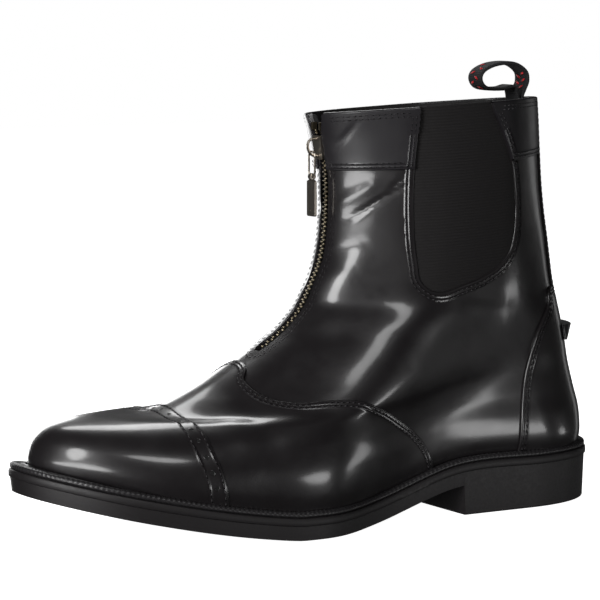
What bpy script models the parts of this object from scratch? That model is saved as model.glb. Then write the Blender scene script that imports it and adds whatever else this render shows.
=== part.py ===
# Paddock boot, the left one of a pair, standing empty on its sole.
# Toe along -Y, outer side +X, up +Z. Metres. The floor is z = 0.

import math

import bmesh
import bpy
import numpy as np
from mathutils import Vector

# Driving sizes of the sole
LENGTH = 0.300
BALL_HALF = 0.0535
HEEL_RIM = 0.0246
WAIST_RIM = 0.0116
BALL_RIM = 0.0106
TOE_SPRING = 0.0240
HEEL_LENGTH = 0.086
FOREPART_THICKNESS = 0.0102
EDGE_TAPER = 0.0014
EDGE_BEVEL = 0.0040
HEEL_BEVEL = 0.0008
RIM_STEP = 0.0007
RIM_BAND = 0.0032
BREAST_LEAN = 0.0008

# Driving sizes of the upper
COLLAR_FRONT = 0.187
COLLAR_BACK = 0.1920
COLLAR_ROLL = 0.055
ROLL_START = 0.5
SHIN_Y = 0.0200
WELT_HEIGHT = 0.0026
WELT_INSET = 0.0006
WELT_MARGIN = 0.0050
WELT_ROUND = 0.0004
WELT_SIDE = 0.7
FOOT_MARGIN = 0.0013
LEATHER = 0.0022
GAP = 0.0003
CAP_LIFT = 0.0015
VAMP_LIFT = 0.0009
COUNTER_LIFT = 0.0011
BAND_LIFT = 0.0009
STRIP_LIFT = 0.0010
BAND_DEPTH = 0.0255
STRIP_HALF = 0.0165
GORE_DEPTH = 0.0007
GORE_THICKNESS = 0.0012
INSOLE_THICKNESS = 0.0030

# Driving sizes of the zip
SLIT_HALF = 0.0036
SLIT_TOP_HALF = 0.0068
SLIT_BOTTOM = 0.425 * COLLAR_FRONT
SLIDER_TOP = COLLAR_FRONT - 0.0095
SLIDER_BOTTOM = SLIDER_TOP - 0.0110
TAPE_REACH = 0.0095
TAPE_THICKNESS = 0.0009
TAPE_FOOT = 0.0040
TOOTH_PITCH = 0.0020
TOOTH_GAP = 0.15
TEETH_HALF = 0.0024
TEETH_CORE = 0.0014
TEETH_DEPTH = 0.0013
TEETH_SPREAD = 0.8
OPEN_TEETH_OVERLAP = 0.0040
OPEN_TEETH_RISE = 0.0006
STOP_WIDTH = 0.0015
STOP_DEPTH = 0.0022
STOP_HEIGHT = 0.0034
STOP_DROP = 0.0035
STOP_SINK = 0.0008
SLIDER_HALF = 0.0033
SLIDER_PLATE = 0.0015
SLIDER_STANDOFF = 0.0004
BAIL_REACH = 0.0050
BAIL_RADIUS = 0.0007
LINK_RADIUS = 0.0005
LINK_LENGTH = 0.0115
LINK_HALF = 0.0026
EYE_RADIUS = 0.0016
EYE_BORE = 0.0009
PULL_LENGTH = 0.0170
PULL_HALF = 0.0034
PULL_THICKNESS = 0.0013
PULL_CORNER = 0.0006
PULL_HOLE = 0.0007
PULL_HOLE_RISE = 0.0028
EYE_CLEARANCE = 0.0007
BAIL_BAR = 0.54
LINK_DROP = 0.16

# Driving sizes of the loop and the spur rest
LOOP_WIDTH = 0.0110
LOOP_THICKNESS = 0.0019
LOOP_HEIGHT = 0.0165
LOOP_REACH = 0.0238
SPUR_TURN = 0.062
SPUR_TOP = 0.0840
SPUR_DEPTH = 0.0072
SPUR_REACH = 0.0042
SPUR_FOOT = 0.0012
SPUR_TAPER = 0.25

# Mesh fineness
AROUND = 40
UP = 18

# Sole outline: station from heel back to toe tip as a share of the length,
# half widths as shares of half the ball width.
SOLE = np.array([
    # station, outer, inner
    (0.00, 0.680, 0.680),
    (0.12, 0.680, 0.680),
    (0.22, 0.670, 0.655),
    (0.33, 0.668, 0.590),
    (0.45, 0.715, 0.640),
    (0.56, 0.950, 0.856),
    (0.68, 0.921, 0.969),
    (0.78, 0.875, 0.920),
    (0.90, 0.740, 0.800),
    (1.00, 0.600, 0.678),
])
TOE_ROUND = 0.145
HEEL_ROUND = 0.170
END_FULLNESS = 2.2

# Top of the sole along its length, before the toe spring: station, share of its own height.
RIM_STATIONS = [0.0, 0.14, 0.30, 0.46, 0.62, 1.0]
SPRING_START = 0.61
SPRING_POWER = 1.24

# The last and the shaft, one row for each loop from the sole up to the collar.
# front and back: y as a share of the length, height as a share of the rise to the collar.
# heel, waist, ball, fore: half width along the loop as shares of half the ball width.
# round_b, round_f: share of the loop in its rounded back and front ends.
# follow: how far the loop follows the sole's height and outline.
# swell: how far the leather stands out over the sole's outline, as a share of half the ball width.
RINGS = np.array([
    # front_y, front_z, back_y, back_z, heel, waist, ball, fore, round_b, round_f, follow, swell
    (-.4690, .000, .4810, .000, .580, .555, .900, .730, .13, .21, 1.00, .00),
    (-.4690, .016, .4825, .016, .592, .575, .915, .745, .13, .21, 1.00, .02),
    (-.4680, .055, .4835, .055, .620, .610, .940, .745, .13, .21, .93, .05),
    (-.4575, .098, .4810, .115, .630, .635, .930, .715, .14, .22, .80, .05),
    (-.4320, .128, .4715, .180, .620, .650, .880, .640, .15, .24, .62, .02),
    (-.3770, .139, .4620, .247, .600, .660, .820, .560, .16, .26, .44, .00),
    (-.2930, .136, .4555, .307, .585, .670, .790, .530, .17, .28, .28, .00),
    (-.2200, .180, .4485, .368, .570, .680, .765, .515, .19, .29, .14, .00),
    (-.1540, .248, .4400, .428, .560, .685, .745, .505, .21, .29, .05, .00),
    (-.0920, .322, .4320, .489, .550, .690, .730, .505, .24, .29, .00, .00),
    (-.0370, .404, .4260, .552, .550, .690, .720, .505, .27, .29, .00, .00),
    (-.0090, .493, .4200, .616, .555, .695, .715, .510, .29, .28, .00, .00),
    (.0100, .580, .4130, .688, .560, .700, .715, .520, .31, .28, .00, .00),
    (.0180, .698, .4070, .767, .570, .710, .725, .530, .32, .28, .00, .00),
    (.0180, .817, .4030, .852, .585, .725, .735, .540, .33, .28, .00, .00),
    (.0110, .918, .4000, .930, .595, .740, .745, .550, .33, .28, .00, .00),
    (.0000, 1.00, .3970, 1.00, .600, .750, .750, .555, .33, .28, .00, .00),
])
ROWS = len(RINGS) - 1
WIDTH_KNOTS = np.array([0.0, 0.10, 0.35, 0.62, 0.88, 1.0])

# Sideways bow of the foot's middle line: y and shift, as shares.
BOW_Y = [-0.50, -0.30, -0.10, 0.05, 0.20, 0.50]
BOW_X = [0.0, 0.0, 0.030, 0.050, 0.030, 0.0]

# Seams seen from the side, as y share of the length and z share of the collar's height.
CAP_EDGE = [
    (-.240, .350), (-.243, .325), (-.252, .290), (-.252, .240), (-.243, .185), (-.232, .115), (-.229, .05),
]
WING_EDGE = [
    (-.119, .430), (-.132, .392), (-.146, .364), (-.137, .339), (-.120, .325), (-.095, .319), (-.045, .324),
    (-.006, .322), (.040, .296), (.078, .262), (.112, .226), (.145, .166), (.157, .120), (.158, .05),
]
COUNTER_EDGE = [
    (.440, .548), (.392, .541), (.386, .507), (.372, .480), (.356, .451), (.333, .380), (.325, .338),
    (.319, .275), (.316, .209), (.316, .05),
]
GORE_EDGE = [
    (.117, 1.15), (.117, .640), (.120, .598), (.136, .574), (.158, .570), (.182, .580), (.233, .602),
    (.267, .628), (.289, .665), (.297, .703), (.294, .830), (.290, .860), (.282, .890), (.260, .960),
    (.240, 1.02), (.236, 1.15),
]

# The pull loop seen from the side, from its front foot round to its back foot:
# place forward of the collar's inner face as a share of the loop's reach,
# rise above the collar as a share of its height.
LOOP_PATH = [
    (.08, -.95), (.08, -.20), (.13, .24), (.22, .34), (.45, .28), (.85, .32), (1.0, .55), (.93, .80),
    (.62, .98), (.20, 1.0), (-.08, .78), (-.13, .50), (-.06, .25), (0.0, .04), (0.0, -.30), (0.0, -.95),
]

# The part of the rise, as v, that the ring behind each overlay takes in
CAP_V = 0.60
VAMP_V = 0.70
COUNTER_V = 0.65
STRIP_V = 0.45
BAND_V = 0.75
GORE_V = 0.45
TAPE_V = 0.25

# How far cutting forms reach: past everything, above the collar, and over the front or back alone
FAR = LENGTH
HEADROOM = 0.16 * COLLAR_FRONT
FRONT_REACH = 0.12 * LENGTH
BACK_REACH = 0.30 * LENGTH


def hermite(knots, values, x):
    """Smooth curve through values at the knots; values may hold one column for each x."""
    knots = np.asarray(knots, float)
    x = np.clip(np.asarray(x, float), knots[0], knots[-1])
    values = np.asarray(values, float)
    if values.ndim == 1:
        values = np.broadcast_to(values.reshape((-1,) + (1,) * x.ndim), (len(knots),) + x.shape)
    step = np.diff(knots).reshape((-1,) + (1,) * x.ndim)
    rise = np.diff(values, axis=0) / step
    slope = np.empty_like(values)
    slope[1:-1] = (rise[:-1] * step[1:] + rise[1:] * step[:-1]) / (step[:-1] + step[1:])
    slope[0] = rise[0]
    slope[-1] = rise[-1]
    i = np.clip(np.searchsorted(knots, x, side='right') - 1, 0, len(knots) - 2)
    h = np.diff(knots)[i]
    t = (x - knots[i]) / h

    def at(table, index):
        return np.take_along_axis(table, index[None], 0)[0]

    start = (2 * t**3 - 3 * t**2 + 1) * at(values, i) + (t**3 - 2 * t**2 + t) * h * at(slope, i)
    end = (3 * t**2 - 2 * t**3) * at(values, i + 1) + (t**3 - t**2) * h * at(slope, i + 1)
    return start + end


def round_end(share, reach, fullness=2.0):
    """Half width of a round end, from 0 at its tip to 1 at its reach."""
    g = np.clip(share / reach, 0.0, 1.0)
    return np.clip(1.0 - (1.0 - g)**fullness, 0.0, 1.0)**(1.0 / fullness)


def rim_height(y):
    """Height of the sole's top edge."""
    t = 0.5 - np.asarray(y, float) / LENGTH
    heights = [HEEL_RIM, HEEL_RIM, 0.97 * HEEL_RIM, WAIST_RIM, BALL_RIM, BALL_RIM]
    spring = np.clip((t - SPRING_START) / (1.0 - SPRING_START), 0.0, 1.0)**SPRING_POWER
    return hermite(RIM_STATIONS, heights, t) + TOE_SPRING * spring


def bow(y):
    """Sideways shift of the foot's middle line."""
    return hermite(BOW_Y, BOW_X, np.asarray(y, float) / LENGTH) * BALL_HALF


def last_point(u, v):
    """Point on the upper's outer face. u runs 0 at the back, 0.25 outer side, 0.5 front,
    0.75 inner side; v runs 0 at the sole, 1 at the collar."""
    u, v = np.broadcast_arrays(np.asarray(u, float), np.asarray(v, float))
    rows = np.arange(ROWS + 1)
    column = [hermite(rows, RINGS[:, k], v * ROWS) for k in range(RINGS.shape[1])]
    front_y, front_z, back_y, back_z, heel, waist, ball, fore, round_b, round_f, follow, swell = column
    turn = 2.0 * math.pi * u
    s = (1.0 - np.cos(turn)) / 2.0
    side = np.where(np.sin(turn) >= 0.0, 1.0, -1.0)
    foot_front = RINGS[0, 0] * LENGTH
    foot_back = RINGS[0, 2] * LENGTH
    base_front = rim_height(foot_front) + GAP
    base_back = rim_height(foot_back) + GAP
    z_front = base_front + front_z * (COLLAR_FRONT - base_front)
    z_back = base_back + back_z * (COLLAR_BACK - base_back)
    y = (back_y + (front_y - back_y) * s) * LENGTH
    chord = base_back + (base_front - base_back) * s
    sag = rim_height(foot_back + (foot_front - foot_back) * s) + GAP - chord
    z = z_back + (z_front - z_back) * s + follow * sag
    widths = np.stack([heel, heel, waist, ball, fore, 0.93 * fore], 0)
    own = hermite(WIDTH_KNOTS, widths, s) * BALL_HALF + side * bow(y)
    station = 0.5 - y / LENGTH
    outer, inner = hermite(SOLE[:, 0], SOLE[:, 1], station), hermite(SOLE[:, 0], SOLE[:, 2], station)
    sole = np.where(side > 0.0, outer, inner)
    sole = (sole + swell) * BALL_HALF - WELT_MARGIN
    share = follow**2
    ends = round_end(s, round_b) * round_end(1.0 - s, round_f)
    middle = bow(y) * (1.0 - share)
    width = (own - side * middle) * (1.0 - share) + (sole - side * middle) * share
    x = side * width * ends + middle
    roll = COLLAR_ROLL * np.clip((v - ROLL_START) / (1.0 - ROLL_START), 0.0, 1.0)**2
    return np.stack([x, y, z + roll * x], -1)


def face_out(u, v):
    """Outward normal of the upper's outer face."""
    step_u = 0.002
    step_v = 0.004
    v = np.clip(v, step_v, 1.0 - step_v)
    along = last_point(u + step_u, v) - last_point(u - step_u, v)
    upward = last_point(u, v + step_v) - last_point(u, v - step_v)
    normal = np.cross(upward, along)
    return normal / np.linalg.norm(normal, axis=-1, keepdims=True)


def shell_point(u, v, lift):
    """Point at a distance outside (or, below zero, inside) the upper's outer face."""
    return last_point(u, v) + face_out(u, v) * lift


def sole_outline(turn):
    """Sole outline; turn runs from 0 at the heel's back over the outer side."""
    s = (1.0 - np.cos(turn)) / 2.0
    outer = np.sin(turn) >= 0.0
    width = np.where(outer, hermite(SOLE[:, 0], SOLE[:, 1], s), hermite(SOLE[:, 0], SOLE[:, 2], s))
    ends = round_end(s, HEEL_ROUND, END_FULLNESS) * round_end(1.0 - s, TOE_ROUND, END_FULLNESS)
    width = width * ends * BALL_HALF
    return np.stack([np.where(outer, width, -width), LENGTH * (0.5 - s)], -1)


def inset_outline(turn, inset):
    """The sole outline moved inwards."""
    step = 0.01
    here = sole_outline(turn)
    ahead = sole_outline(turn + step) - sole_outline(turn - step)
    inward = np.stack([ahead[..., 1], -ahead[..., 0]], -1)
    inward = inward / np.linalg.norm(inward, axis=-1, keepdims=True)
    return here + inward * np.asarray(inset, float).reshape(-1, 1)


# Scene helpers

def clear_scene():
    for item in list(bpy.data.objects):
        bpy.data.objects.remove(item, do_unlink=True)


def new_collection(name):
    collection = bpy.data.collections.new(name)
    bpy.context.scene.collection.children.link(collection)
    return collection


def finish_material(name, colour, roughness, metallic=0.0):
    material = bpy.data.materials.new(name)
    material.use_nodes = True
    shader = material.node_tree.nodes["Principled BSDF"]
    shader.inputs["Base Color"].default_value = (*colour, 1.0)
    shader.inputs["Roughness"].default_value = roughness
    shader.inputs["Metallic"].default_value = metallic
    material.diffuse_color = (*colour, 1.0)
    return material


def add_mesh(name, verts, faces, material=None, collection=None):
    mesh = bpy.data.meshes.new(name)
    mesh.from_pydata([tuple(v) for v in verts], [], faces)
    mesh.validate()
    work = bmesh.new()
    work.from_mesh(mesh)
    bmesh.ops.recalc_face_normals(work, faces=work.faces)
    work.to_mesh(mesh)
    work.free()
    item = bpy.data.objects.new(name, mesh)
    (collection or PARTS).objects.link(item)
    if material:
        mesh.materials.append(material)
        mesh.shade_smooth()
        mesh.set_sharp_from_angle(angle=math.radians(35))
    return item


def add_cutter(name, verts, faces):
    item = add_mesh(name, verts, faces, None, CUTTERS)
    item.hide_render = True
    item.display_type = 'WIRE'
    return item


def cut(item, cutter, operation):
    modifier = item.modifiers.new(operation.title(), 'BOOLEAN')
    modifier.operation = operation
    modifier.object = cutter
    modifier.solver = 'EXACT'


def loft_loops(loops, closed_ends=True):
    """Vertices and faces of a loft through closed loops of equal count."""
    count = len(loops[0])
    verts = [tuple(p) for loop in loops for p in loop]
    faces = []
    for i in range(len(loops) - 1):
        for j in range(count):
            k = (j + 1) % count
            faces.append((i * count + j, i * count + k, (i + 1) * count + k, (i + 1) * count + j))
    if closed_ends:
        last = (len(loops) - 1) * count
        faces.append(tuple(range(count))[::-1])
        faces.append(tuple(last + j for j in range(count)))
    return verts, faces


def add_loft(name, loops, material, collection=None):
    verts, faces = loft_loops(loops)
    return add_mesh(name, verts, faces, material, collection)


def welt_level():
    """The share v up the upper from which the overlays start, a margin above the welt."""
    v = np.linspace(0.0, 0.2, 80)
    front = last_point(np.full(len(v), 0.5), v)[:, 2]
    return float(np.interp(front[0] + WELT_HEIGHT + FOOT_MARGIN, front, v))


def stations():
    """Places round the boot that every loop shares, with a pair at the heel's breast."""
    breast = HEEL_LENGTH / LENGTH
    turns = [math.acos(1.0 - 2.0 * share) for share in (breast, breast + BREAST_LEAN / LENGTH)]
    even = np.linspace(0.0, math.pi, AROUND // 2 + 1)
    near = 0.4 * math.pi / (AROUND // 2)
    kept = [turn for turn in even if min(abs(turn - turns[0]), abs(turn - turns[1])) > near]
    half = np.array(sorted(kept + turns))
    return np.concatenate([half, 2.0 * math.pi - half[-2:0:-1]]) / (2.0 * math.pi)


def shell(name, material, inside, outside, v_low=0.0, v_high=1.0):
    """A hollow ring of the upper's form, open above and below, between two offsets."""
    u = stations()
    count = len(u)
    grid_v = np.concatenate([[0.0], np.linspace(welt_level(), 1.0, UP)])
    grid_v = grid_v[(grid_v >= v_low - 1e-6) & (grid_v <= v_high + 1e-6)]
    outer = [shell_point(u, np.full(count, v), outside) for v in grid_v]
    inner = [shell_point(u, np.full(count, v), inside) for v in grid_v]
    for loops in (outer, inner):
        if grid_v[0] < 1e-6:
            loops[0][:, 2] = last_point(u, np.zeros(count))[:, 2]
        if grid_v[-1] > 1.0 - 1e-6:
            loops[-1][:, 2] = last_point(u, np.ones(count))[:, 2]
    loops = outer + inner[::-1]
    verts = [tuple(p) for loop in loops for p in loop]
    faces = []
    total = len(loops)
    for i in range(total):
        n = (i + 1) % total
        for j in range(count):
            k = (j + 1) % count
            a, b, c, d = i * count + j, i * count + k, n * count + k, n * count + j
            # The same diagonal on both faces keeps stacked layers an even distance apart.
            if i < len(outer):
                faces += [(a, b, c), (a, c, d)]
            else:
                faces += [(a, b, d), (b, c, d)]
    return add_mesh(name, verts, faces, material)


def side_prism(name, outline, x_low, x_high):
    """A prism along X from an outline of (y, z)."""
    low = [(x_low, y, z) for y, z in outline]
    high = [(x_high, y, z) for y, z in outline]
    verts, faces = loft_loops([low, high])
    return add_cutter(name, verts, faces)


def front_prism(name, outline, y_low, y_high):
    """A prism along Y from an outline of (x, z)."""
    low = [(x, y_low, z) for x, z in outline]
    high = [(x, y_high, z) for x, z in outline]
    verts, faces = loft_loops([low, high])
    return add_cutter(name, verts, faces)


def seam_line(rows):
    """A seam's table as (y, z) in metres."""
    return [(y * LENGTH, z * COLLAR_FRONT) for y, z in rows]


def moved_outline(outline, distance):
    """A closed (y, z) outline grown by a distance, or shrunk where it is negative."""
    points = np.array(outline)
    area = 0.5 * np.sum(points[:, 0] * np.roll(points[:, 1], -1) - np.roll(points[:, 0], -1) * points[:, 1])
    ahead = np.roll(points, -1, 0) - points
    ahead = ahead / np.linalg.norm(ahead, axis=1, keepdims=True)
    out = np.stack([ahead[:, 1], -ahead[:, 0]], 1) * math.copysign(1.0, area)
    before = np.roll(out, 1, 0)
    mitre = out + before
    mitre = mitre / np.sum(mitre * out, axis=1, keepdims=True)
    return [tuple(p) for p in points + mitre * distance]


# Sub-parts

def make_outsole(material):
    """Unit sole and heel in one: side with its rim, arch, heel breast and toe spring."""
    turn = stations() * 2.0 * math.pi
    s = (1.0 - np.cos(turn)) / 2.0
    y = LENGTH * (0.5 - s)
    top = rim_height(y)
    under = top - FOREPART_THICKNESS
    in_heel = s <= HEEL_LENGTH / LENGTH + 1e-6
    edge = np.where(in_heel, 0.0, under)
    floor_drop = np.where(in_heel, 0.0, np.clip(BALL_RIM - FOREPART_THICKNESS, 0.0, None))
    bottom = np.where(in_heel, 0.0, np.maximum(under - floor_drop, 0.0))
    bevel = np.where(in_heel, HEEL_BEVEL, EDGE_BEVEL)
    edge = edge + np.where(in_heel, HEEL_BEVEL, 0.0)

    def ring(inset, z):
        flat = inset_outline(turn, inset)
        return np.concatenate([flat, z[:, None]], 1)

    rings = [
        ring(np.full(len(turn), WELT_INSET), top),
        ring(np.zeros(len(turn)), top - WELT_INSET),
        ring(np.zeros(len(turn)), top - RIM_BAND),
        ring(np.full(len(turn), RIM_STEP), top - RIM_BAND - RIM_STEP),
        ring(np.full(len(turn), EDGE_TAPER), edge),
        ring(EDGE_TAPER + bevel, bottom),
    ]
    count = len(turn)
    verts, faces = loft_loops(rings, closed_ends=False)
    half_count = count // 2 + 1
    for base, flip in ((0, True), ((len(rings) - 1) * count, False)):
        for j in range(half_count - 1):
            a, b = base + j, base + j + 1
            c = base + (count - j - 1) % count
            d = base + (count - j) % count
            quad = [a, b, c, d]
            quad = [k for n, k in enumerate(quad) if k not in quad[:n]]
            faces.append(tuple(quad[::-1] if flip else quad))
    return add_mesh("outsole", verts, faces, material)


def make_welt(material):
    """Strip on the sole's edge, around the foot of the upper."""
    u = stations()
    count = len(u)
    low = shell_point(u, np.zeros(count), GAP)
    high = shell_point(u, np.full(count, welt_level()), GAP)
    inner = np.maximum(np.abs(low[:, 0]), np.abs(high[:, 0])) * np.sign(low[:, 0])
    inner_y = np.where(low[:, 1] < 0, np.minimum(low[:, 1], high[:, 1]), np.maximum(low[:, 1], high[:, 1]))
    outer = inset_outline(2.0 * math.pi * u, WELT_INSET)
    base = rim_height(outer[:, 1]) + GAP
    base_in = rim_height(inner_y) + GAP
    loops = [
        np.stack([inner, inner_y, base_in], 1),
        np.stack([outer[:, 0], outer[:, 1], base], 1),
        np.stack([outer[:, 0], outer[:, 1], base + WELT_SIDE * WELT_HEIGHT], 1),
        np.stack([outer[:, 0] * (1 - WELT_ROUND / BALL_HALF), outer[:, 1], base + WELT_HEIGHT], 1),
        np.stack([inner, inner_y, base_in + WELT_HEIGHT], 1),
    ]
    verts = [tuple(p) for loop in loops for p in loop]
    faces = []
    for i in range(len(loops)):
        n = (i + 1) % len(loops)
        for j in range(count):
            k = (j + 1) % count
            faces.append((i * count + j, i * count + k, n * count + k, n * count + j))
    return add_mesh("welt", verts, faces, material)


def make_insole(material):
    """Board inside the upper, on the sole's top."""
    u = stations()
    count = len(u)
    foot = shell_point(u, np.zeros(count), -LEATHER - 2.0 * GAP)
    base = rim_height(foot[:, 1]) + GAP
    low = np.stack([foot[:, 0], foot[:, 1], base], 1)
    high = np.stack([foot[:, 0], foot[:, 1], base + INSOLE_THICKNESS], 1)
    verts, faces = loft_loops([low, high], closed_ends=False)
    for base_index, flip in ((0, True), (count, False)):
        for j in range(count // 2):
            quad = [j, j + 1, (count - j - 1) % count, (count - j) % count]
            quad = [base_index + k for n, k in enumerate(quad) if k not in quad[:n]]
            faces.append(tuple(quad[::-1] if flip else quad))
    return add_mesh("insole", verts, faces, material)


def zip_middle():
    """Sideways place of the zip's middle line."""
    return float(bow(SHIN_Y))


def slit_outline(half, top_half, bottom):
    """Front view of the zip's slit: (x, z) from its foot, widening above the slider."""
    x = zip_middle()
    top = COLLAR_BACK + HEADROOM
    spread = top_half + (top_half - half) * (top - COLLAR_FRONT) / (COLLAR_FRONT - SLIDER_TOP)
    return [(x - half, bottom), (x + half, bottom), (x + half, SLIDER_TOP), (x + spread, top),
            (x - spread, top), (x - half, SLIDER_TOP)]


def make_upper(material):
    item = shell("upper", material, -LEATHER, 0.0)
    slit = front_prism("slit_cutter", slit_outline(SLIT_HALF, SLIT_TOP_HALF, SLIT_BOTTOM), -FAR, FRONT_REACH)
    cut(item, slit, 'DIFFERENCE')
    cut(item, side_prism("gore_cutter", seam_line(GORE_EDGE), -FAR, FAR), 'DIFFERENCE')
    return item


def make_toe_cap(material):
    item = shell("toe_cap", material, GAP, GAP + CAP_LIFT, welt_level(), CAP_V)
    edge = seam_line(CAP_EDGE)
    outline = edge + [(-FAR, 0.0), (-FAR, edge[0][1])]
    cut(item, side_prism("cap_cutter", outline, -FAR, FAR), 'INTERSECT')
    return item


def make_vamp(material):
    """Vamp lapped over the quarters, from the toe cap back along its wings."""
    item = shell("vamp", material, GAP, GAP + VAMP_LIFT, welt_level(), VAMP_V)
    front = [(y + GAP, z) for y, z in seam_line(CAP_EDGE)]
    back = seam_line(WING_EDGE)
    outline = [front[0]] + [(front[0][0], back[0][1])] + back + front[::-1][:-1]
    cut(item, side_prism("vamp_cutter", outline, -FAR, FAR), 'INTERSECT')
    slit = slit_outline(SLIT_HALF + GAP, SLIT_TOP_HALF, SLIT_BOTTOM)
    cut(item, front_prism("vamp_slit_cutter", slit, -FAR, FRONT_REACH), 'DIFFERENCE')
    return item


def make_counter(material):
    item = shell("counter", material, GAP, GAP + COUNTER_LIFT, welt_level(), COUNTER_V)
    edge = seam_line(COUNTER_EDGE)
    outline = edge + [(FAR, edge[-1][1]), (FAR, edge[0][1])]
    cut(item, side_prism("counter_cutter", outline, -FAR, FAR), 'INTERSECT')
    return item


def make_back_strip(material):
    """Strip up the back seam, from the counter to the collar."""
    item = shell("back_strip", material, GAP, GAP + STRIP_LIFT, STRIP_V, 1.0)
    low = COUNTER_EDGE[0][1] * COLLAR_FRONT + GAP
    outline = [(-STRIP_HALF, low), (STRIP_HALF, low), (STRIP_HALF, FAR), (-STRIP_HALF, FAR)]
    cut(item, front_prism("strip_cutter", outline, BACK_REACH, FAR), 'INTERSECT')
    return item


def collar_line(y, drop):
    """Height of a line parallel to the collar, seen from the side."""
    front_y = RINGS[-1, 0] * LENGTH
    back_y = RINGS[-1, 2] * LENGTH
    share = (y - front_y) / (back_y - front_y)
    return COLLAR_FRONT + (COLLAR_BACK - COLLAR_FRONT) * share - drop


def make_bands(material):
    """Collar band in four pieces: front and back, outer and inner side."""
    gore = seam_line(GORE_EDGE)
    front_gore = gore[0][0] - GAP
    back_y = gore[-1][0] - 1e-6
    low_z = COLLAR_FRONT - 1.5 * BAND_DEPTH
    back_rows = [(y + GAP, z) for y, z in gore if y > back_y and z > low_z]
    front_y = -FRONT_REACH
    back_y = 0.5 * LENGTH
    middle = zip_middle()
    front = [(front_y, collar_line(front_y, BAND_DEPTH)), (front_gore, collar_line(front_gore, BAND_DEPTH)),
             (front_gore, FAR), (front_y, FAR)]
    foot = collar_line(back_rows[0][0], BAND_DEPTH)
    back_rows = [(back_rows[0][0], foot)] + [row for row in back_rows if row[1] > foot + GAP]
    back = [(back_y, collar_line(back_y, BAND_DEPTH))] + back_rows[:-1]
    back += [(back_rows[-1][0], FAR), (back_y, FAR)]
    made = []
    for side, low, high in (("outer", middle, FAR), ("inner", -FAR, middle)):
        item = shell("collar_band_front_" + side, material, GAP, GAP + BAND_LIFT, BAND_V, 1.0)
        cut(item, side_prism("band_cutter_front_" + side, front, low, high), 'INTERSECT')
        slit = slit_outline(SLIT_HALF + GAP, SLIT_TOP_HALF + GAP, SLIT_BOTTOM)
        cut(item, front_prism("band_slit_cutter_" + side, slit, -FAR, FRONT_REACH), 'DIFFERENCE')
        made.append(item)
        item = shell("collar_band_back_" + side, material, GAP, GAP + BAND_LIFT, BAND_V, 1.0)
        strip = STRIP_HALF + GAP
        low, high = (strip, FAR) if side == "outer" else (-FAR, -strip)
        cut(item, side_prism("band_cutter_back_" + side, back, low, high), 'INTERSECT')
        made.append(item)
    return made


def make_gores(material):
    """Elastic set into the side cut-outs."""
    made = []
    outline = moved_outline(seam_line(GORE_EDGE), -GAP)
    for side, low, high in (("outer", 0.0, FAR), ("inner", -FAR, 0.0)):
        item = shell("gore_" + side, material, -GORE_DEPTH - GORE_THICKNESS, -GORE_DEPTH, GORE_V, 1.0)
        cut(item, side_prism("gore_fill_cutter_" + side, outline, low, high), 'INTERSECT')
        made.append(item)
    return made


def front_line(z_values):
    """Points of the upper's middle line in front at given heights, and their slopes."""
    v = np.linspace(0.3, 1.0, 400)
    line = last_point(np.full(len(v), 0.5), v)
    y = np.interp(z_values, line[:, 2], line[:, 1])
    step = 0.001
    ahead = np.interp(np.asarray(z_values) + step, line[:, 2], line[:, 1])
    behind = np.interp(np.asarray(z_values) - step, line[:, 2], line[:, 1])
    slope = (ahead - behind) / (2.0 * step)
    return y, slope


def front_point(x, z, lift):
    """Point in front of the zip's middle line, lifted square to the upper's slope."""
    y, slope = front_line(np.array([z]))
    length = math.hypot(1.0, slope[0])
    return (x, float(y[0]) - lift / length, z + lift * float(slope[0]) / length)


def make_zip_tapes(material):
    """Fabric tapes behind the slit's edges."""
    made = []
    middle = zip_middle()
    foot = SLIT_BOTTOM - TAPE_FOOT
    outside = -LEATHER - GAP
    spread = SLIT_TOP_HALF - SLIT_HALF
    above = COLLAR_BACK + HEADROOM
    flare = spread * (above - SLIDER_TOP) / (COLLAR_FRONT - SLIDER_TOP)
    for name, side in (("zip_tape_outer", 1.0), ("zip_tape_inner", -1.0)):
        item = shell(name, material, outside - TAPE_THICKNESS, outside, TAPE_V, 1.0)
        near = middle + side * GAP
        far = middle + side * TAPE_REACH
        outline = [(near, foot), (far, foot), (far, SLIDER_TOP), (far + side * flare, above),
                   (near + side * flare, above), (near, SLIDER_TOP)]
        cut(item, front_prism(name + "_cutter", outline, -FAR, FRONT_REACH), 'INTERSECT')
        made.append(item)
    return made


def teeth_loops(z_low, z_high, x_of, half_left, half_right):
    """Box sections up a row of teeth; the teeth stand out to each side in turn."""
    count = int(round((z_high - z_low) / TOOTH_PITCH)) * 2
    heights = np.linspace(z_low, z_high, count + 1)
    loops = []
    for i in range(count):
        out = TEETH_HALF if i % 2 == 0 else TEETH_CORE
        back = TEETH_CORE if i % 2 == 0 else TEETH_HALF
        left = half_left * out
        right = half_right * back
        for z in (heights[i] + 0.5 * TOOTH_GAP * TOOTH_PITCH, heights[i + 1] - 0.5 * TOOTH_GAP * TOOTH_PITCH):
            x = x_of(z)
            outer = -GAP
            inner = outer - TEETH_DEPTH
            loops.append([front_point(x - left, z, inner), front_point(x + right, z, inner),
                          front_point(x + right, z, outer), front_point(x - left, z, outer)])
    return loops


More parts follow.
